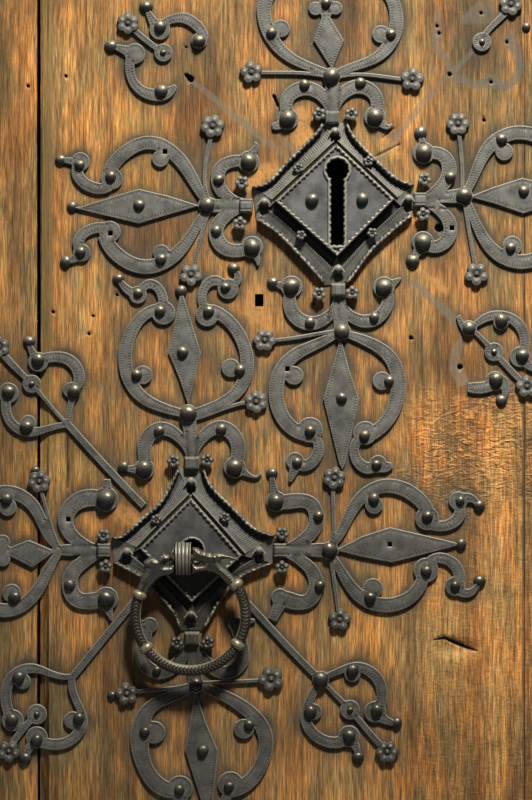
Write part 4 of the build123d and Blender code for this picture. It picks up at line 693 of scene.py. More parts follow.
def mark_shapes():
    """Every mark in the oak, by kind, as paths of X, Z and width in the door's own millimetres."""
    lx, lz = STAR["lock"]
    rx, rz = STAR["ring"]

    def lock(*path):
        return [(lx + x, lz + z, w) for x, z, w in path]

    def ring(*path):
        return [(rx + x, rz + z, w) for x, z, w in path]

    return {
        "ghost": [
            lock((-148, 129, 5), (-100, 88, 7), (-50, 50, 7)), lock((-54, 67, 6), (-33, 46, 7)),
            lock((45, 44, 6), (88, 100, 7), (117, 131, 7)), lock((120, 133, 5), (141, 155, 5)),
            lock((116, 130, 7), (126, 125, 8), (143, 119, 7), (157, 123, 13), (169, 116, 8), (181, 124, 8),
                 (186, 136, 9), (184, 150, 8), (176, 164, 14)),
            lock((115, 134, 6), (113, 144, 7), (104, 153, 9), (102, 164, 10), (104, 190, 7)),
            lock((132, 185, 10), (150, 192, 24)), lock((81, -78, 6), (104, -100, 9), (128, -123, 9)),
            lock((128, -137, 8), (121, -151, 10), (121, -163, 12), (128, -176, 12)),
            ring((158, 330, 4), (188, 300, 8)),
        ],
        "bare": [
            lock((-78, -92, 17), (-78, -110, 26)), lock((-34, 92, 16), (-33, 70, 20), (-24, 60, 14)),
            lock((-62, 34, 16), (-84, 22, 12)), lock((52, 62, 12), (64, 48, 14)),
            lock((88, -66, 5), (112, -88, 4)), ring((-52, 28, 16), (-70, 36, 14)),
            # The first path here is the pale lower lip of the gouge, a painted highlight.
            [(194, 845, 4), (217, 845, 5)], [(238, 812, 1.2), (249, 831, 1.2), (259, 818, 1.2)],
            [(239, 811, 1.2), (256, 800, 1.2)],
        ],
        "hole": [
            # The first hole, behind the ring cover's eye, is sunk and painted black as the eye's shadow.
            ring((0, 1, 23)), lock((77, -134, 4)), lock((105, -24, 8)), lock((115.6, 129.8, 4)),
            lock((157, 122, 3)), lock((173, 162, 3)), lock((105, 171, 3)), lock((103, 178, 3)),
            lock((126, -163, 5)), lock((-143, 125, 6), (-148, 129, 3)), lock((147, 191, 3)),
            lock((-268, 128, 3)), lock((-306, 118, 3)), lock((-217, -91, 2.5)), lock((-241, -112, 2.5)),
            lock((-281, -108, 3)), lock((-245, -130, 3)), ring((138, 392, 2)), lock((-148, 157, 2)),
            lock((-60, 108, 3), (-56, 98, 2)), lock((-130, -118, 2)), lock((60, -170, 2)),
            lock((150, 84, 3)), lock((-20, -100, 2)),
        ],
        "crack": [
            ring((-124, 112, 1.4), (-124, 62, 1.0)),
            lock((-292, -20, 1.2), (-288, -60, 1.6), (-289, -92, 1.2)), lock((42, 48, 1.4), (66, 60, 1.0)),
            lock((48, 66, 1.0), (60, 76, 1.6)), lock((232, 12, 2.6), (246, 0, 1.0)),
            lock((-292, -150, 2.5), (-291, -168, 3)),
            # This crack is the dark line along the gouge's upper edge, sunk and painted as its shadow.
            [(176, 860, 1.2), (187, 862, 3.2), (198, 857, 4.0), (209, 852, 3.2), (219, 849, 1.2)],
        ],
    }


# The gouge in the middle plank: X, Z and its half sizes
GOUGE = (196.0, 853.0, 23.0, 9.0)


def plank_fields(flat):
    """The marks' values at points of X and Z: bare wood, with one painted highlight, ghosts of lost iron,
    pits, darkened as painted shade, and depth.

    The last value is the distance to the nearest sharp edge of a mark.
    """
    shapes = mark_shapes()

    def reach(kind):
        return np.min([path_distance(flat, path) for path in shapes[kind]], axis=0)

    ghost, bare, hole, crack = (reach(kind) for kind in ("ghost", "bare", "hole", "crack"))
    x, z = flat[:, 0], flat[:, 1]
    wander = smooth_noise(x, z, 14, 5) + 0.6 * smooth_noise(x, z, 6, 6)
    bare = bare + 5 * wander
    pit = np.clip(0.3 - hole, 0, 1.2) / 1.2 * 7 + np.clip(0.25 - crack, 0, 0.8) / 0.8 * 2.0
    aside, above = (x - GOUGE[0]) / GOUGE[2], (z - GOUGE[1]) / GOUGE[3]
    dent = np.clip(1 - ((aside + 0.1 * wander) ** 2 + (above + 0.25 * wander) ** 2), 0, 1)
    return {
        "ghost": np.clip(0.5 - ghost / 1.4, 0, 1), "bare": np.clip(0.5 - bare / 6, 0, 1),
        "pit": np.clip(pit / 1.2, 0, 1), "depth": pit + 3.2 * dent**0.7,
        "edge": np.minimum.reduce([np.abs(ghost), np.abs(hole), np.abs(crack) + 0.2]),
    }


# Lattices of points on the planks' fronts: step, shift and the span in X and Z
WHOLE_LEAF, NEAR_IRON = (-450, 450, 46, 2050), (-262, 285, 690, 1515)
PLANK_LATTICES = ((16.0, 0.7, WHOLE_LEAF), (4.0, 0.7, NEAR_IRON), (1.1, 0.0, NEAR_IRON))


def plank_front(node, plates):
    """A plank with a fine front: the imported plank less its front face, and a new front on the same outline.

    The front's points are a coarse lattice, a 4 mm one near the iron and a 1.1 mm one along the marks' edges.
    Stain is highest beside the iron and falls off smoothly over a few centimetres, broken by noise.
    """
    points, triangles = node_mesh(node)
    level = -points[:, 1].min()
    is_front = (points[:, 1] < 0.02 - level)[triangles].all(axis=1)
    loops = front_loops(node)
    border = np.vstack(loops)
    low, high = border.min(axis=0), border.max(axis=0)
    sets = []
    for step, shift, (x0, x1, z0, z1) in PLANK_LATTICES:
        xs = np.arange(max(x0, low[0]) + shift, min(x1, high[0]), step)
        sets.append(lattice(xs, np.arange(max(z0, low[1]) + shift, min(z1, high[1]), step)))
    sets[-1] = sets[-1][plank_fields(sets[-1])["edge"] < 1.5]
    inner = np.vstack(sets)
    inner = inner[inside(inner, loops)]
    inner = inner[border_distance(inner, border, 2.0) > 0.9]
    flat, faces, source = filled(np.vstack([border, inner]), loops)
    fields = plank_fields(flat)
    near = border_distance(flat, plates, 40.0)
    x, z = flat[:, 0], flat[:, 1]
    wander = 0.5 + 0.5 * smooth_noise(x, z, 30, 8) + 0.25 * smooth_noise(x, z, 11, 9)
    stain = np.exp(-near / 7.0) * (0.75 + 0.9 * wander)
    rough = np.clip((x - 140) / 40 + 0.6 * wander, 0, 1) * np.clip((1115 - z) / 40 + 0.8 * wander, 0, 1)
    rough = rough * np.clip((z - 960) / 60, 0.3, 1)
    new = raised(flat, level - np.where(source < len(border), 0, fields["depth"]))
    marks = {key: fields[key] for key in ("bare", "ghost", "pit")}
    gathered = Gathered()
    gathered.add(new, facing(new, faces, -1), stain=stain, rough=rough, **marks)
    gathered.add(points, triangles[~is_front], stain=0.0)
    return gathered


# Node groups and materials


class Nodes:
    """Short calls for building a node tree: each returns the node or its first output."""

    def __init__(self, tree):
        self.tree = tree

    def feed(self, node, inputs):
        """Give a node's inputs, by name or number, their values or links."""
        for key, value in inputs.items():
            if isinstance(value, bpy.types.NodeSocket):
                self.tree.links.new(value, node.inputs[key])
            else:
                node.inputs[key].default_value = value

    def node(self, kind, inputs=None, **settings):
        """A node with its own properties and its inputs."""
        node = self.tree.nodes.new(kind)
        for key, value in settings.items():
            setattr(node, key, value)
        self.feed(node, inputs or {})
        return node

    def group(self, name, inputs):
        """A node group's own node, with its inputs."""
        return self.node("ShaderNodeGroup", inputs, node_tree=bpy.data.node_groups[name])

    def math(self, operation, a, b=0.0, clamp=False):
        """One operation on two values or links."""
        return self.node("ShaderNodeMath", {0: a, 1: b}, operation=operation, use_clamp=clamp).outputs[0]

    def times(self, a, b):
        """The product of two values or links."""
        return self.math("MULTIPLY", a, b)

    def plus(self, a, b):
        """The sum of two values or links."""
        return self.math("ADD", a, b)

    def mix(self, factor, a, b, blend="MIX"):
        """Two colours mixed."""
        inputs = {0: factor, 6: a, 7: b}
        return self.node("ShaderNodeMix", inputs, data_type="RGBA", blend_type=blend).outputs[2]

    def gain(self, colour, gain):
        """A colour multiplied by another colour."""
        return self.mix(1.0, colour, gain, "MULTIPLY")

    def shade(self, colour, value):
        """A colour made darker or lighter by a value."""
        grey = self.node("ShaderNodeCombineXYZ", {"X": value, "Y": value, "Z": value}).outputs[0]
        return self.gain(colour, grey)

    def remap(self, value, low, high, to_low=0.0, to_high=1.0, smooth=True):
        """A value carried from one range to another, clamped."""
        kind = "SMOOTHSTEP" if smooth else "LINEAR"
        inputs = {"Value": value, "From Min": low, "From Max": high, "To Min": to_low, "To Max": to_high}
        return self.node("ShaderNodeMapRange", inputs, interpolation_type=kind).outputs[0]

    def scaled(self, vector, scale, turn=(0, 0, 0)):
        """Coordinates scaled and turned."""
        return self.node("ShaderNodeMapping", {"Vector": vector, "Scale": scale, "Rotation": turn}).outputs[0]

    def place(self, scale=(1, 1, 1), turn=(0, 0, 0)):
        """Object coordinates, scaled and turned."""
        return self.scaled(self.node("ShaderNodeTexCoord").outputs["Object"], scale, turn)

    def away(self, x, z, scale):
        """Distance in scaled object coordinates from a place, whose X and Z are in millimetres."""
        inputs = {0: self.place(scale), 1: (x * MM * scale[0], 0, z * MM * scale[2])}
        return self.node("ShaderNodeVectorMath", inputs, operation="DISTANCE").outputs["Value"]

    def noise(self, vector, scale=1.0, detail=3.0, roughness=0.55, distortion=0.0):
        """Noise from 0 to 1."""
        inputs = {"Scale": scale, "Detail": detail, "Roughness": roughness, "Distortion": distortion}
        return self.node("ShaderNodeTexNoise", {"Vector": vector, **inputs}).outputs[0]

    def attribute(self, name):
        """A value written on the piece's own points."""
        return self.node("ShaderNodeAttribute", attribute_name=name).outputs["Fac"]

    def bump(self, height, distance, strength=1.0):
        """A bump from a height."""
        inputs = {"Height": height, "Distance": distance, "Strength": strength}
        return self.node("ShaderNodeBump", inputs).outputs[0]


def rgb(colour):
    """A colour with alpha from three linear values."""
    return (colour[0], colour[1], colour[2], 1.0)


def new_group(name, inputs, outputs):
    """A node group with its inputs by name and default and its outputs by name and kind.

    It gives the calls for the group's tree, the sockets of what comes in and those of what goes out.
    """
    group = bpy.data.node_groups.new(name, "ShaderNodeTree")
    kinds = {1: "NodeSocketFloat", 3: "NodeSocketVector", 4: "NodeSocketColor"}
    for key, value in inputs.items():
        socket = group.interface.new_socket(name=key, in_out="INPUT", socket_type=kinds[np.size(value)])
        socket.default_value = value
    for key, kind in outputs.items():
        group.interface.new_socket(name=key, in_out="OUTPUT", socket_type=kind)
    n = Nodes(group)
    return n, n.node("NodeGroupInput").outputs, n.node("NodeGroupOutput")


def oak_grain_group():
    """Weathered oak: vertical grain lines, broad figure, pores and stains, as colour and height."""
    inputs = {
        "Light": rgb((0.45, 0.21, 0.08)), "Middle": rgb((0.26, 0.11, 0.04)),
        "Dark": rgb((0.07, 0.035, 0.018)), "Grain size": 0.0035, "Stain": 0.5, "Along": (0, 0, 0),
    }
    outputs = {"Colour": "NodeSocketColor", "Height": "NodeSocketFloat"}
    n, given, result = new_group("Oak grain", inputs, outputs)

    def stretched(vector, scale, detail, roughness):
        return n.noise(n.scaled(vector, scale), 1.0, detail, roughness)

    along, dark = given["Along"], given["Dark"]
    wander = n.times(stretched(along, (6, 6, 1.6), 2.0, 0.55), 0.02)
    aside = n.node("ShaderNodeCombineXYZ", {"X": wander}).outputs[0]
    bent = n.node("ShaderNodeVectorMath", {0: along, 1: aside}, operation="ADD").outputs[0]
    lines_size = {"X": n.math("DIVIDE", 1.0, given["Grain size"]), "Y": 40.0, "Z": 15.0}
    lines_at = {0: bent, 1: n.node("ShaderNodeCombineXYZ", lines_size).outputs[0]}
    lines_at = n.node("ShaderNodeVectorMath", lines_at, operation="MULTIPLY").outputs[0]
    lines = n.noise(lines_at, 1.0, 4.0, 0.62)
    fine = stretched(bent, (1500, 300, 60), 3.0, 0.65)
    figure = stretched(bent, (34, 12, 1.3), 4.0, 0.6)
    broad = stretched(along, (9, 6, 3.0), 4.0, 0.6)
    streak = stretched(bent, (95, 20, 2.4), 3.0, 0.6)
    tint = stretched(bent, (34, 10, 10.0), 6.0, 0.68)
    fleck = stretched(bent, (850, 60, 42), 3.0, 0.6)
    tone = n.plus(n.times(figure, 0.65), n.times(streak, 0.35))
    colour = n.mix(n.remap(tone, 0.32, 0.66), given["Middle"], given["Light"])
    cool, warm = n.gain(colour, rgb((0.70, 0.86, 0.96))), n.gain(colour, rgb((1.22, 1.05, 0.84)))
    colour = n.mix(n.remap(tint, 0.38, 0.62), warm, cool)
    dark_lines = n.remap(streak, 0.42, 0.28)
    colour = n.mix(n.times(dark_lines, 0.45), colour, dark)
    shade = n.times(n.remap(lines, 0.33, 0.63, 0.66, 1.26), n.remap(fine, 0.32, 0.66, 0.66, 1.34))
    shade = n.times(shade, n.remap(fleck, 0.34, 0.66, 0.58, 1.50))
    shade = n.times(shade, n.remap(broad, 0.34, 0.62, 0.66, 1.14))
    colour = n.shade(colour, shade)
    colour = n.mix(n.times(n.remap(broad, 0.52, 0.34), given["Stain"]), colour, dark)
    height = n.plus(n.times(lines, 0.75), n.times(fine, 0.25))
    height = n.math("SUBTRACT", height, n.times(dark_lines, 0.5))
    n.feed(result, {"Colour": colour, "Height": height})


def iron_finish_group():
    """Forged iron: mottled scale, dark grooves, pale worn edges with painted highlights and spots of painted
    shade, as colour, roughness and height.
    """
    inputs = {
        "Base": rgb((0.10, 0.095, 0.088)), "Worn and highlight": rgb((0.34, 0.31, 0.26)),
        "Dirt and shade": rgb((0.018, 0.015, 0.012)), "Wear and highlight": 0.0, "Grooves": 0.0,
        "Roughness low": 0.42, "Roughness high": 0.62,
    }
    outputs = {"Colour": "NodeSocketColor", "Roughness": "NodeSocketFloat", "Height": "NodeSocketFloat"}
    n, given, result = new_group("Forged iron finish", inputs, outputs)
    dirt, low = given["Dirt and shade"], given["Roughness low"]
    mottle = n.noise(n.place(), 55.0, 5.0, 0.6)
    grit = n.noise(n.place(), 420.0, 4.0, 0.65)
    colour = n.shade(given["Base"], n.remap(mottle, 0.32, 0.68, 0.62, 1.32, smooth=False))
    colour = n.mix(n.remap(grit, 0.44, 0.30, 0.0, 0.5), colour, dirt)
    # Painted shade: the iron is darkened towards each spot.
    for x, z, reach, strength in PAINTED_SHADE_SPOTS:
        away = n.away(x, z, (1, 1, 0.75))
        colour = n.mix(n.remap(away, reach * MM, 0.35 * reach * MM, 0.0, strength), colour, dirt)
    edge = n.times(given["Wear and highlight"], n.remap(grit, 0.30, 0.62, 0.45, 1.0))
    colour = n.mix(edge, colour, given["Worn and highlight"])
    colour = n.mix(n.times(given["Grooves"], 0.85), colour, dirt)
    span = n.math("SUBTRACT", given["Roughness high"], low)
    rough = {0: n.remap(mottle, 0.3, 0.7), 1: span, 2: low}
    rough = n.node("ShaderNodeMath", rough, operation="MULTIPLY_ADD").outputs[0]
    height = n.plus(n.times(mottle, 0.6), n.times(grit, 0.4))
    n.feed(result, {"Colour": colour, "Roughness": rough, "Height": height})


def plate_names():
    """The nodes of the lilies and of the diagonal scrolls."""
    lilies = [f"{star}_lily_{side}" for star in STAR for side in LILY_SIDES]
    lock = [f"lock_scroll_{part}" for part in LOCK_SCROLLS]
    return lilies + lock + [f"ring_scroll_{part}" for part in RING_SCROLLS]


def new_material(name):
    """A material with an empty tree, its output and its Principled shader."""
    material = bpy.data.materials.new(name)
    material.use_nodes = True
    material.node_tree.nodes.clear()
    n = Nodes(material.node_tree)
    shader = n.node("ShaderNodeBsdfPrincipled")
    n.node("ShaderNodeOutputMaterial", {0: shader.outputs[0]})
    return material, n, shader


def iron_material(name, base, worn, metallic, low, high, bump, use_points=True):
    """Forged iron from the shared finish, with wear and grooves from the piece's own points."""
    material, n, shader = new_material(name)
    inputs = {"Base": rgb(base), "Worn and highlight": rgb(worn), "Roughness low": low, "Roughness high": high}
    if use_points:
        inputs.update({"Wear and highlight": n.attribute("wear"), "Grooves": n.attribute("dirt")})
    finish = n.group("Forged iron finish", inputs).outputs
    normal = n.bump(finish["Height"], bump)
    inputs = {"Base Color": finish["Colour"], "Roughness": finish["Roughness"], "Normal": normal}
    n.feed(shader, {**inputs, "Metallic": metallic})
    return material


def oak_inputs(light, middle, dark):
    """The grain's inputs for its three colours."""
    return {"Light": rgb(light), "Middle": rgb(middle), "Dark": rgb(dark)}


def wood_material(name, colours, turn=(0, 0, 0)):
    """Oak from the shared grain, turned so that the grain runs along the piece."""
    material, n, shader = new_material(name)
    grain = n.group("Oak grain", {**oak_inputs(*colours), "Along": n.place(turn=turn)}).outputs
    normal = n.bump(grain["Height"], 0.0011, 0.9)
    inputs = {"Base Color": grain["Colour"], "Roughness": 0.6, "Specular IOR Level": 0.35, "Normal": normal}
    n.feed(shader, inputs)
    return material


def dress(nodes, material):
    """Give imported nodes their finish."""
    for node in nodes:
        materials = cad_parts[node].data.materials
        materials.clear()
        materials.append(material)


def finish_piece(gathered, name, node, material, body="leaf"):
    """Make a new piece, give it its finish and its body, and hide the node that it stands for."""
    piece = gathered.object(name)
    piece.data.materials.append(material)
    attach(piece, body)
    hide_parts(node)
    return piece


# Settings that a user would change


class DoorIronSettings(bpy.types.PropertyGroup):
    """Sizes of the chased and forged work, in millimetres, and the iron's colour."""

    tick_spacing: bpy.props.FloatProperty(
        name="Tick spacing", description="Distance between chased ticks along an edge, mm",
        default=2.6, min=1.0
    )
    tick_length: bpy.props.FloatProperty(
        name="Tick length", description="Length of a chased tick, mm", default=2.7, min=0.5
    )
    tick_inset: bpy.props.FloatProperty(
        name="Tick inset", description="Bare edge outside the ticks, mm", default=1.2, min=0.3
    )
    tick_depth: bpy.props.FloatProperty(
        name="Tick depth", description="Depth of a chased tick, mm", default=0.4, min=0.0
    )
    worn_edge: bpy.props.FloatProperty(
        name="Worn edge", description="Radius of the plates' worn edges, mm", default=0.9, min=0.2
    )
    hammer_depth: bpy.props.FloatProperty(
        name="Hammer marks", description="Height of the hammered unevenness, mm", default=0.22, min=0.0
    )
    plate_colour: bpy.props.FloatVectorProperty(
        name="Iron", description="Colour of the blackened iron", subtype="COLOR",
        default=(0.108, 0.110, 0.104)
    )
    nail_colour: bpy.props.FloatVectorProperty(
        name="Nails", description="Colour of the nail heads", subtype="COLOR",
        default=(0.045, 0.046, 0.046)
    )
    cover_colour: bpy.props.FloatVectorProperty(
        name="Cover", description="Colour of the smooth diamonds", subtype="COLOR",
        default=(0.098, 0.103, 0.107)
    )
    # Also the colour of the painted highlights on the domes and rosettes of the plates and fittings.
    worn_and_highlight_colour: bpy.props.FloatVectorProperty(
        name="Worn iron", description="Colour of rubbed edges", subtype="COLOR",
        default=(0.34, 0.32, 0.25)
    )


class DoorWoodSettings(bpy.types.PropertyGroup):
    """Colours of the planks."""

    light: bpy.props.FloatVectorProperty(
        name="Light grain", description="Lightest colour of the planks", subtype="COLOR",
        default=(0.37, 0.195, 0.064)
    )
    middle: bpy.props.FloatVectorProperty(
        name="Middle grain", description="Usual colour of the planks", subtype="COLOR",
        default=(0.205, 0.100, 0.034)
    )
    dark: bpy.props.FloatVectorProperty(
        name="Dark grain", description="Darkest lines and stains", subtype="COLOR",
        default=(0.036, 0.020, 0.010)
    )


class DoorStageSettings(bpy.types.PropertyGroup):
    """The light and the camera."""

    lamp_power: bpy.props.FloatProperty(
        name="Lamp power", description="Power of the lamp above the door", default=11.5, min=0.0, unit="POWER"
    )
    lamp_spread: bpy.props.FloatProperty(
        name="Lamp spread", description="Angle that the lamp's grid lets through, degrees",
        default=50.0, min=10.0
    )
    fill: bpy.props.FloatProperty(
        name="Fill", description="Strength of the plain surround", default=0.085, min=0.0
    )
    back_power: bpy.props.FloatProperty(
        name="Back power", description="Power of the soft light behind the door",
        default=60.0, min=0.0, unit="POWER"
    )
    view_distance: bpy.props.FloatProperty(
        name="View distance", description="Camera distance from the leaf", default=2.6, min=0.5, unit="LENGTH"
    )


# Where the oak is lighter, more orange or darker than the rest, partly the oak's own tone and partly painted
# light and shade, the darker patches at the bottom being painted shade: X, Z, half sizes and the colour's
# gain
WOOD_TONES_AND_PAINTED_LIGHT = (
    (0, 1140, 420, 290, (0.98, 1.01, 1.06)), (-225, 1050, 70, 110, (1.25, 1.25, 1.15)),
    (205, 1070, 75, 70, (1.85, 1.60, 1.25)), (-225, 1440, 60, 80, (1.35, 1.30, 1.20)),
    (235, 1420, 90, 200, (0.66, 0.74, 0.82)), (-215, 770, 90, 140, (0.66, 0.76, 0.90)),
    (60, 770, 260, 90, (0.85, 0.88, 0.95)), (-110, 1350, 60, 80, (1.35, 1.30, 1.10)),
)
# The colours of the marks in the planks, the near-black one being painted shade in the holes and cracks
STAINED, CHIP_DARK, CHIP_LIGHT = (0.072, 0.055, 0.034), (0.06, 0.032, 0.014), (0.55, 0.27, 0.09)
BARE, GHOST, WORN_STRIP = (0.50, 0.25, 0.075), (0.150, 0.128, 0.095), (0.17, 0.125, 0.050)
PIT_SHADE, SEAM = (0.006, 0.004, 0.003), (0.010, 0.008, 0.006)
# The narrow worn strip beside the left seam, in metres: its place in X, and half its width
STRIP_PLACE, STRIP_HALF = -0.2093, 0.0052


def plank_material(name, light, middle, dark, stain):
    """Oak with the marks written on a plank's points: stain, bare patches, ghosts of iron, chipping, and pits
    darkened as painted shade, then patches of tone, painted light and painted shade.
    """
    material, n, shader = new_material(name)
    grain = {**oak_inputs(light, middle, dark), "Stain": stain, "Along": n.place()}
    grain = n.group("Oak grain", grain).outputs
    colour, rough = grain["Colour"], n.attribute("rough")
    grit = n.noise(n.place(), 160.0, 4.0, 0.65)
    patch = n.noise(n.place((26, 26, 11)), 1.0, 4.0, 0.6)
    chips = n.noise(n.place((90, 90, 190), (0, 0.12, 0)), 1.0, 2.0, 0.5, 1.5)
    parts = n.node("ShaderNodeSeparateXYZ", {0: n.place()}).outputs
    stains = n.times(n.attribute("stain"), n.remap(patch, 0.25, 0.62, 0.25, 1.15))
    bare = n.times(n.attribute("bare"), n.remap(grit, 0.35, 0.55, 0.35, 1.0))
    ghost = n.times(n.attribute("ghost"), n.remap(patch, 0.3, 0.6, 0.5, 1.0))
    aside = n.plus(n.plus(parts["X"], n.times(patch, 0.004)), -STRIP_PLACE)
    strip = n.remap(n.math("ABSOLUTE", aside), STRIP_HALF + 0.001, STRIP_HALF)
    marks = (
        (n.math("MULTIPLY", stains, 0.9, True), STAINED),
        (n.times(n.times(n.remap(chips, 0.40, 0.34), rough), 0.75), CHIP_DARK),
        (n.times(n.times(n.remap(chips, 0.58, 0.66), rough), 0.40), CHIP_LIGHT),
        (n.times(bare, 0.7), BARE), (n.times(ghost, 0.68), GHOST),
        (n.times(strip, n.remap(parts["Z"], 0.98, 1.12, 0.0, 0.75)), WORN_STRIP),
        # Painted shade: pits and cracks are darkened nearly to black.
        (n.times(n.attribute("pit"), 0.97), PIT_SHADE),
    )
    for factor, mark in marks:
        colour = n.mix(factor, colour, rgb(mark))
    # Tone patches, partly painted light and shade; the darker bottom is painted shade.
    for x, z, half_x, half_z, gain in WOOD_TONES_AND_PAINTED_LIGHT:
        away = n.away(x, z, (1 / half_x, 0, 1 / half_z))
        colour = n.mix(n.remap(away, 1.0 * MM, 0.3 * MM), colour, n.gain(colour, rgb(gain)))
    sunk = n.times(n.remap(parts["Y"], 0.002, 0.008), n.remap(parts["Y"], 0.047, 0.042))
    colour = n.mix(n.times(sunk, 0.93), colour, rgb(SEAM))
    height = n.times(grain["Height"], n.remap(rough, 0, 1, 1.0, 0.45))
    height = n.plus(height, n.times(n.times(chips, rough), 1.3))
    height = n.bump(n.plus(height, n.times(grit, 0.25)), 0.0016)
    n.feed(shader, {"Base Color": colour, "Roughness": 0.58, "Specular IOR Level": 0.35, "Normal": height})
    return material


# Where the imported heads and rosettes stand


def separate_parts(node, in_front=0.4):
    """For each separate solid of a node, its part so far in front of the leaf: centre, radius, foot, height.

    Labels are carried along the edges of the triangles that lie there until each solid has one.
    """
    points, triangles = node_mesh(node)
    triangles = triangles[(points[triangles][:, :, 1] < -in_front).all(axis=1)]
    label = np.arange(len(points))
    while True:
        least = label[triangles].min(axis=1)
        new = label.copy()
        for column in range(3):
            np.minimum.at(new, triangles[:, column], least)
        if (new == label).all():
            break
        label = new
    result = []
    for value in np.unique(label[triangles.ravel()]):
        part = points[label == value]
        low, high = part.min(axis=0), part.max(axis=0)
        middle = (low + high) / 2
        radius = (high[0] - low[0] + high[2] - low[2]) / 4
        outer = np.hypot(part[:, 0] - middle[0], part[:, 2] - middle[2]) > 0.8 * radius
        foot = -part[outer, 1].max()
        result.append((middle[0], middle[2], radius, foot, -low[1] - foot))
    return result


def nail_places(node, in_front=0.4):
    """Places for domes over a node's heads: a head of which only the flat top is found stands on the wood.

    Each dome is a little wider and taller than its head, so that it covers it.
    """
    wider, rise, flat_top = 1.04, 0.86, 0.2
    places = []
    for x, z, radius, foot, tall in separate_parts(node, in_front):
        if tall < flat_top:
            radius, foot = foot / HEAD_RISE, 0.0
        places.append((x, z, radius * wider, foot, radius * rise))
    return places


def root_grooves(node):
    """Grooves beside a lily's root, where the stem runs between its two curled arms, with a width each."""
    star, _, side = node.split("_")
    ahead = np.array({"top": (0, 1), "right": (1, 0), "bottom": (0, -1), "left": (-1, 0)}[side])
    across = np.array([-ahead[1], ahead[0]])
    grooves = []
    for way in (-1, 1):
        start = ahead * 93 + across * way * 4.2 + STAR[star]
        end = ahead * 118 + across * way * 5.4 + STAR[star]
        grooves.append((*start, *end, 1.5))
    return grooves


# The pull ring and its hook

# The ring's middle and radius, and the angles of its knops, the first and last of which end its bar
RING_MIDDLE = np.array([STAR["ring"][0] - 0.8, -22.0, STAR["ring"][1] - 63.6])
RING_RADIUS = 54.6
KNOPS = (34.0, -31.7, -143.6, -201.8)
CHEVRON = 3.6

# The two beasts that carry the ring, in X and Z from the ring star: outline, opening and chased cuts
BEASTS = {
    "left": (
        [(-55.3, -38.9), (-52.4, -32.6), (-48.9, -25.1), (-46.1, -19.4), (-47, -15.4), (-47.8, -10.8),
         (-43.8, -7.3), (-38, -5.6), (-34, -7), (-29.4, -1.6), (-24.3, -2.7), (-20.8, 0.2), (-18.4, 3.2),
         (-16.4, 3.8), (-16.4, -8), (-16.4, -20), (-22, -23.4), (-29.4, -25.7), (-36.3, -30.8),
         (-41.5, -37.7), (-44.9, -43.5), (-50, -43)],
        [(-26.6, -13.4), (-23.1, -10.4), (-18.9, -9.2), (-18.2, -11), (-18.9, -13.1), (-22, -14.2)],
        [(-34, -7, -31, -12, 1.2), (-47, -15, -40, -17, 1.3), (-40.5, -11, -40.4, -11, 1.5),
         (-29, -3, -27, -9, 1.2), (-22, -2, -20.5, -8, 1.2), (-50, -33, -38, -22, 1.0)],
    ),
    "right": (
        [(0.4, 3.8), (5.6, 3.8), (10.2, 1.3), (15.9, -0.4), (21.1, -1.6), (28.6, -1), (37.7, -3.9),
         (45.8, -7.3), (46.6, -9.6), (37.7, -7.6), (31.4, -7.6), (28.6, -10.4), (30.3, -14.2),
         (35.4, -18.2), (41.2, -24), (47.5, -30.9), (44, -36), (40, -37.7), (36.6, -34.3), (29.7, -27.4),
         (22.8, -22.2), (15.9, -20.5), (10.2, -20.5), (4.4, -21.7), (0.4, -21.5), (0.4, -8)],
        [(2.2, -8.6), (5.6, -9.6), (11.6, -11.9), (12.2, -13.4), (6.6, -13.8), (2.2, -12.6)],
        [(10, 1, 11, -7, 1.2), (15.9, -1, 15, -8, 1.2), (21, -2, 20, -8, 1.2),
         (24.5, -5.5, 24.6, -5.5, 1.5), (28.6, -10.4, 22, -11.4, 1.3), (24, -17, 40, -30, 1.0)],
    ),
}
# Their rounded edge and chased border: distance, height, wave, wear and dirt
BEAST_ROWS = (
    (0.0, 2.2, 0.0, 0.1, 0.0), (0.4, 4.2, 0.0, 0.1, 0.0), (1.1, 6.0, 0.0, 0.2, 0.0),
    (2.0, 7.1, 0.0, 0.35, 0.0), (2.5, 7.5, 0.0, 0.3, 0.0), (2.8, 7.6, -0.4, 0.1, 0.9),
    (3.3, 7.8, -0.4, 0.1, 0.9), (3.6, 8.1, 0.0, 0.3, 0.0),
)
# The hook's fold seen from the side: Y, and Z from the ring star
HOOK_PATH = (
    (-1.5, 5), (-9, 7.5), (-18, 7.5), (-26, 5), (-31, -2), (-31.5, -10), (-28.5, -18), (-23, -23), (-16, -22),
)


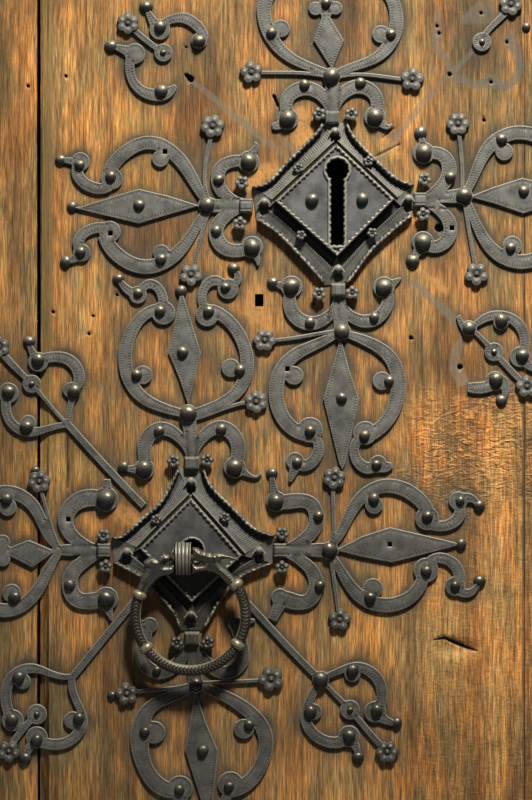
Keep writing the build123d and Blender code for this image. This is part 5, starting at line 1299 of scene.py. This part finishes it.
def ring_bar(gathered, rows=560, columns=32):
    """The ring's bar: a flattened round section carried along an arc, from the first knop to the last.

    The section's half width goes as the cosine of v to the power 0.9 and its half depth as the sine of v.
    Chevrons, a tooth wave of the length run that leans with the distance from the section's middle, are
    pressed into the front between two grooves.
    """
    start, end = math.radians(KNOPS[0]), math.radians(KNOPS[-1])
    u = np.linspace(start, end, rows)[:, None]
    v = np.linspace(0, math.tau, columns, endpoint=False)
    across, in_front = np.abs(np.cos(v)), np.sin(v) > 0
    tooth = np.abs((((start - u) * RING_RADIUS + 5.0 * across) / CHEVRON) % 1.0 - 0.5) * 2
    chased = (tooth > 0.5) * (across < 0.5) * in_front
    border = bell(across, 0.62, 0.09) * in_front
    radial = RING_RADIUS + 5.3 * np.sign(np.cos(v)) * across**0.9
    deep = 4.5 * np.sin(v) - 0.6 * chased - 0.35 * border
    x, z = RING_MIDDLE[0] + radial * np.cos(u), RING_MIDDLE[2] + radial * np.sin(u)
    points = np.stack([x, RING_MIDDLE[1] - deep, z], axis=-1).reshape(-1, 3)
    dirt = np.maximum(chased * 0.9, np.maximum(border * 0.8, 0.25 * (across < 0.9)))
    wear = 0.75 * (across > 0.82) * (np.cos(v) < 0) + 0.35 * (across < 0.5) * (tooth < 0.4)
    end_ring = (rows - 1) * columns + np.arange(columns)
    faces = [grid_quads(rows, columns, close_columns=True), np.arange(columns)[None, :], end_ring[None, ::-1]]
    gathered.add(points, faces, wear=wear.ravel(), dirt=dirt.ravel())


def ring_knops(gathered):
    """Round knops on the bar: the radius falls as the root of 1 less a power of the place along the knop."""
    t = np.linspace(-0.98, 0.98, 27)
    radii = np.maximum(7.4 * (1 - np.abs(t) ** 2.4) ** 0.5, 1.0)
    for degrees in KNOPS:
        cosine, sine = math.cos(math.radians(degrees)), math.sin(math.radians(degrees))
        spot = RING_MIDDLE + RING_RADIUS * np.array([cosine, 0, sine])
        tube(gathered, spot + np.array([-sine, 0, cosine]) * t[:, None] * 5.0, radii, columns=32, wear=0.65)


def ring_beasts(gathered):
    """The two beasts, as raised plates with a chased border, and the axle between them in the hook's fold."""
    cx, cz = STAR["ring"]
    for side, (outline, opening, cuts) in BEASTS.items():
        lines = ((outline, 220), (opening, 60))
        loops = [spline_points(line + line[:1], count)[:-1] + [cx, cz] for line, count in lines]
        creases = [(cx + x0, cz + z0, cx + x1, cz + z1, w) for x0, z0, x1, z1, w in cuts]
        relief(
            gathered, loops, BEAST_ROWS, 8.4, 0.65, base=18.0, fill=1.6, hammer=0.3, creases=creases,
            seed=len(side),
        )
    axle = [(cx + x, RING_MIDDLE[1], cz - 7) for x in (-18, -8, 2)]
    tube(gathered, axle, [4.0, 4.0, 4.0], columns=24, wear=0.3)


def fluted_hook(gathered, rows=70, columns=121):
    """The folded hook's front: a strap carried along its side view, fluted across as the root of a cosine.

    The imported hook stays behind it.
    """
    cx, cz = STAR["ring"]
    path = spline_points(HOOK_PATH, rows)
    t, v = np.linspace(0, 1, rows)[:, None], np.linspace(-1, 1, columns)
    valley = np.abs(np.cos(math.tau * v))
    flute = np.sqrt(valley) - 1.0 + 0.6
    ahead = unit(np.gradient(path, axis=0))
    y, z = path[:, :1] + flute * ahead[:, 1:], path[:, 1:] - flute * ahead[:, :1]
    x = cx - 8.0 + 7.9 * v * (1 - 0.12 * t)
    points = np.stack([x, y, cz + z], axis=-1).reshape(-1, 3)
    deep = (np.clip(1 - valley * 2.2, 0, 1) * np.ones((rows, 1))).ravel()
    gathered.add(points, grid_quads(rows, columns), wear=0.5 * (deep < 0.1), dirt=deep)
    gathered.add(*node_mesh("ring_hook"), wear=0.1, dirt=0.6)


# Steps


# The frame's and the ledges' oak: light, middle and dark
FRAME_OAK = ((0.20, 0.105, 0.045), (0.12, 0.058, 0.025), (0.03, 0.018, 0.011))
LEDGE_OAK = ((0.22, 0.12, 0.05), (0.13, 0.065, 0.03), (0.03, 0.02, 0.012))


class DOOR_OT_timber(bpy.types.Operator):
    """Give the planks their worn fronts and marks, and the ledges and the frame their oak"""

    bl_idname = "archdoor.timber"
    bl_label = "Planks and frame"

    def execute(self, context):
        oak = context.scene.door_wood
        colours = [np.array(colour) for colour in (oak.light, oak.middle, oak.dark)]
        oak_grain_group()
        loops = [loop for node in plate_names() for loop in front_loops(node, PLATE_THICKNESS)]
        plates = np.vstack([resample(loop, 3.0) for loop in loops])
        brown = plank_material("Oak plank", *colours, 0.55)
        grey = plank_material("Oak plank darker", *(colour * 0.95 for colour in colours), 0.7)
        planks = {
            "plank_left": ("plank_grey_brown", grey), "plank_middle": ("plank_brown", brown),
            "plank_right": ("plank_brown", brown),
        }
        for node, (slot, material) in planks.items():
            finish_piece(plank_front(node, plates), f"{node}_worn", node, material)
        upright = wood_material("Oak frame", FRAME_OAK)
        dress(("jamb_left", "jamb_right", "frame_pegs", "arch_head_left", "arch_head_right"), upright)
        level = wood_material("Oak ledge", LEDGE_OAK, turn=(0, math.pi / 2, 0))
        dress(("ledge_bottom", "ledge_middle", "ledge_top", "threshold"), level)
        return {"FINISHED"}


class DOOR_OT_back_iron(bpy.types.Operator):
    """Give the hinges, the lock and the fittings of the back their iron"""

    bl_idname = "archdoor.back_iron"
    bl_label = "Back fittings"

    def execute(self, context):
        iron_finish_group()
        dull, rubbed = (0.06, 0.054, 0.048), (0.2, 0.17, 0.13)
        back = iron_material("Back iron", dull, rubbed, 0.55, 0.45, 0.7, 0.0006, use_points=False)
        nodes = (
            "ledge_nails", "strap_nails", "lock_nails", "pintle_nails", "keeper_nails",
            "hinge_strap_lower", "hinge_strap_upper", "pintle_lower", "pintle_upper",
            "lock_case", "lock_bolt", "lock_bolt_guide", "lock_spring",
            "bolt_staple_inner", "bolt_staple_outer", "bolt_keeper", "ring_hook_rove",
        )
        dress(nodes, back)
        settings = context.scene.door_iron
        # The worn colours also paint the highlights on the domes' upper sides and the rosettes' upper petals.
        iron_material("Forged iron", settings.plate_colour, settings.worn_and_highlight_colour, 0.25, 0.52, 0.70, 0.0005)
        iron_material("Nail iron", settings.nail_colour, (0.42, 0.38, 0.26), 0.5, 0.32, 0.46, 0.0003)
        iron_material("Cover iron", settings.cover_colour, settings.worn_and_highlight_colour, 0.35, 0.44, 0.60, 0.0003)
        return {"FINISHED"}


class DOOR_OT_plates(bpy.types.Operator):
    """Chase and forge the lilies and scrolls of both stars"""

    bl_idname = "archdoor.plates"
    bl_label = "Lilies and scrolls"

    def execute(self, context):
        settings, materials = context.scene.door_iron, bpy.data.materials
        rows = chased_rows(settings)
        for seed, node in enumerate(plate_names()):
            gathered = Gathered()
            loops = front_loops(node, PLATE_THICKNESS)
            grooves = root_grooves(node) if "lily" in node else ()
            relief(
                gathered, loops, rows, PLATE_THICKNESS, settings.tick_spacing / 4,
                hammer=settings.hammer_depth, creases=grooves, seed=seed,
            )
            plain = sum(len(block) for block in gathered.faces)
            balls = nail_places(node, PLATE_THICKNESS + 0.1)
            if balls:
                domes(gathered, balls)
            heads = sum(len(block) for block in gathered.faces) - plain
            piece = finish_piece(gathered, f"{node}_chased", node, materials["Forged iron"])
            piece.data.materials.append(materials["Nail iron"])
            is_head = np.arange(len(piece.data.polygons)) >= len(piece.data.polygons) - heads
            piece.data.polygons.foreach_set("material_index", is_head.astype(np.int32))
        return {"FINISHED"}


def star_cover(star, node, high):
    """A star's raised diamond with its waved rim, and on the ring's star the rim round its eye."""
    centre, eye_radius = np.array(STAR[star]), 11.0
    gathered = Gathered()
    plain = [(0.0, high, 0.0, 0.2, 0.0), (0.6, high, 0.0, 0.0, 0.0)]
    relief(gathered, front_loops(node), plain, high, 1.2, fill=5.0, hammer=0.3)
    waved_rim(gathered, STAR_DIAMOND[star] + centre, -3.2, 0.2, high - 2, high + 2.0, 5.6, 0.8)
    if star == "ring":
        turn = np.linspace(0, math.tau, 90, endpoint=False)
        eye = centre + eye_radius * np.stack([np.cos(turn), np.sin(turn)], axis=1)
        waved_rim(gathered, eye, 0.2, 3.0, high - 1, high + 1.6, 4.6, 0.5)
    return gathered


def star_fittings(star):
    """A star's collars, its corner studs with their curled rims, and the flowers at the rims' ends."""
    cx, cz = STAR[star]
    gathered = Gathered()
    for x, z, upright in COLLARS[star]:
        half_x, half_z = (6.6, 7.4) if upright else (7.4, 6.6)
        cushion(gathered, cx + x, cz + z, half_x, half_z, 1.5, 8.0)
    radii = np.interp(np.arange(30), [0, 15, 29], [0.9, 2.0, 0.9])
    for x, z in CORNER_STUDS[star]:
        domes(gathered, [(cx + x, cz + z + 2, 4.6, 4.5, 5.5)])
        curl = [(x - 6, z - 1), (x - 3, z + 2.4), (x, z + 3.6), (x + 3, z + 2.4), (x + 6, z - 1)]
        tube(gathered, raised(spline_points(curl, 30) + [cx, cz], 7.4), radii, columns=12, wear=0.5)
    for n, (x, z) in enumerate(RIM_ENDS[star]):
        rosette(gathered, cx + x, cz + z, 7.2, 5, 0.7 * n, 6.0, 3.2, rings=14, columns=60)
        domes(gathered, [(cx + x, cz + z, 4.5, 1.0, 6.5)])
    return gathered


class DOOR_OT_stars(bpy.types.Operator):
    """Fold the star frames, their raised diamonds, the keyhole rim and the small fittings"""

    bl_idname = "archdoor.stars"
    bl_label = "Star frames"

    def execute(self, context):
        spacing, keyhole_widest = context.scene.door_iron.tick_spacing, 40
        iron, cover = bpy.data.materials["Forged iron"], bpy.data.materials["Cover iron"]
        for star, node, high in (("lock", "lock_star_box", 11.4), ("ring", "ring_star_plate", 7.2)):
            gathered = Gathered()
            for k in range(4):
                star_side(gathered, star, k, spacing)
            for k in range(4):
                star_neck(gathered, star, k)
            finish_piece(gathered, f"{star}_frame_folded", f"{star}_star_frame", iron)
            finish_piece(star_cover(star, node, high), f"{star}_cover_raised", node, cover)
            fittings = f"{star}_star_fittings"
            finish_piece(star_fittings(star), f"{star}_fittings_forged", fittings, iron)
        gathered = Gathered()
        for loop in front_loops("lock_star_box"):
            if np.ptp(loop[:, 0]) < keyhole_widest:
                waved_rim(gathered, loop, 0.0, 3.3, 10.4, 13.6, 6.2, 0.6)
        finish_piece(gathered, "keyhole_rim_waved", "lock_keyhole_rim", iron)
        return {"FINISHED"}


class DOOR_OT_nails(bpy.types.Operator):
    """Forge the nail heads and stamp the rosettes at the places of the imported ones"""

    bl_idname = "archdoor.nails"
    bl_label = "Nails and rosettes"

    def execute(self, context):
        nail_iron, iron = bpy.data.materials["Nail iron"], bpy.data.materials["Forged iron"]
        for star in STAR:
            nails, rosettes = f"{star}_front_nails", f"{star}_rosettes"
            gathered = Gathered()
            domes(gathered, nail_places(nails))
            finish_piece(gathered, f"{star}_nails_forged", nails, nail_iron)
            gathered = Gathered()
            for n, (x, z, radius, foot, tall) in enumerate(separate_parts(rosettes)):
                if radius < 7:
                    rosette(gathered, x, z, 5.4, 5, 0.5 * n, 6.6, 3.2, rings=12, columns=50)
                else:
                    rosette(gathered, x, z, radius * 1.02, (6, 5)[n % 2], 0.37 * n, 1.0, 4.4)
            finish_piece(gathered, f"{star}_rosettes_stamped", rosettes, iron)
        return {"FINISHED"}


class DOOR_OT_pull_ring(bpy.types.Operator):
    """Shape the pull ring with its knops and its two beasts, and the fluted hook that carries it"""

    bl_idname = "archdoor.pull_ring"
    bl_label = "Pull ring and hook"

    def execute(self, context):
        iron, cover = bpy.data.materials["Nail iron"], bpy.data.materials["Cover iron"]
        ring, hook = Gathered(), Gathered()
        for shape in (ring_bar, ring_knops, ring_beasts):
            shape(ring)
        finish_piece(ring, "pull_ring_forged", "pull_ring", iron, body="ring")
        fluted_hook(hook)
        finish_piece(hook, "ring_hook_fluted", "ring_hook", cover)
        return {"FINISHED"}


# The height of the leaf that the picture spans, in metres
VIEW_HEIGHT = 0.8


def area_lamp(name, size, power, place, target):
    """An area lamp at a place in metres, turned to its target."""
    data = bpy.data.lights.new(name, "AREA")
    data.size = size
    data.energy = power
    lamp = bpy.data.objects.new(name, data)
    lamp.location = place
    lamp.rotation_euler = (Vector(target) - lamp.location).to_track_quat("-Z", "Y").to_euler()
    bpy.context.scene.collection.objects.link(lamp)
    return data


class DOOR_OT_stage(bpy.types.Operator):
    """Set the pale floor, the soft light and the camera square to the leaf"""

    bl_idname = "archdoor.stage"
    bl_label = "Floor, light and camera"

    def execute(self, context):
        scene, settings = context.scene, context.scene.door_stage
        half = 6000
        corners = [(x, y, -0.5) for x, y in ((-half, -half), (half, -half), (half, half), (-half, half))]
        floor = mesh_object("floor", corners, [np.array([[0, 1, 2, 3]])], smooth=False)
        pale, n, shader = new_material("Pale floor")
        n.feed(shader, {"Base Color": rgb((0.78, 0.77, 0.75)), "Roughness": 0.9})
        floor.data.materials.append(pale)
        scene.world = bpy.data.worlds.new("Soft surround")
        scene.world.use_nodes = True
        surround = scene.world.node_tree.nodes["Background"]
        Nodes(scene.world.node_tree).feed(surround, {0: rgb((0.92, 0.96, 1.0)), 1: settings.fill})
        lamp = area_lamp("lamp", 0.40, settings.lamp_power, (0.42, -1.35, 3.15), (0.14, 0.0, 1.17))
        lamp.shape = "DISK"
        lamp.spread = math.radians(settings.lamp_spread)
        lamp.color = (1.0, 0.93, 0.82)
        area_lamp("back glow", 1.6, settings.back_power, (-1.4, 2.6, 2.6), (0, 0.1, 1.0))
        view = bpy.data.cameras.new("camera")
        view.sensor_fit = "VERTICAL"
        view.sensor_height = 36.0
        view.lens = view.sensor_height * settings.view_distance / VIEW_HEIGHT
        camera = bpy.data.objects.new("camera", view)
        camera.location = (0.008, -settings.view_distance, 1.1)
        camera.rotation_euler = (math.pi / 2, 0, 0)
        scene.collection.objects.link(camera)
        scene.camera = camera
        scene.view_settings.view_transform = "Standard"
        return {"FINISHED"}


class DOOR_PT_panel(bpy.types.Panel):
    """Lists the door's steps in the sidebar"""

    bl_label = "Arched door"
    bl_idname = "DOOR_PT_panel"
    bl_space_type = "VIEW_3D"
    bl_region_type = "UI"
    bl_category = "Door"

    def draw(self, context):
        for step in STEPS:
            self.layout.operator(step.bl_idname)


STEPS = (
    DOOR_OT_timber, DOOR_OT_back_iron, DOOR_OT_plates, DOOR_OT_stars, DOOR_OT_nails, DOOR_OT_pull_ring,
    DOOR_OT_stage,
)
CLASSES = (DoorIronSettings, DoorWoodSettings, DoorStageSettings) + STEPS + (DOOR_PT_panel,)


def register():
    """Register the settings, steps and panel."""
    for item in CLASSES:
        bpy.utils.register_class(item)
    bpy.types.Scene.door_iron = bpy.props.PointerProperty(type=DoorIronSettings)
    bpy.types.Scene.door_wood = bpy.props.PointerProperty(type=DoorWoodSettings)
    bpy.types.Scene.door_stage = bpy.props.PointerProperty(type=DoorStageSettings)


def unregister():
    """Take the settings, steps and panel away again."""
    del bpy.types.Scene.door_stage
    del bpy.types.Scene.door_wood
    del bpy.types.Scene.door_iron
    for item in reversed(CLASSES):
        bpy.utils.unregister_class(item)


def main():
    """Run each step in order."""
    register()
    for step in STEPS:
        group, name = step.bl_idname.split(".")
        getattr(getattr(bpy.ops, group), name)()


if __name__ == "__main__":
    main()
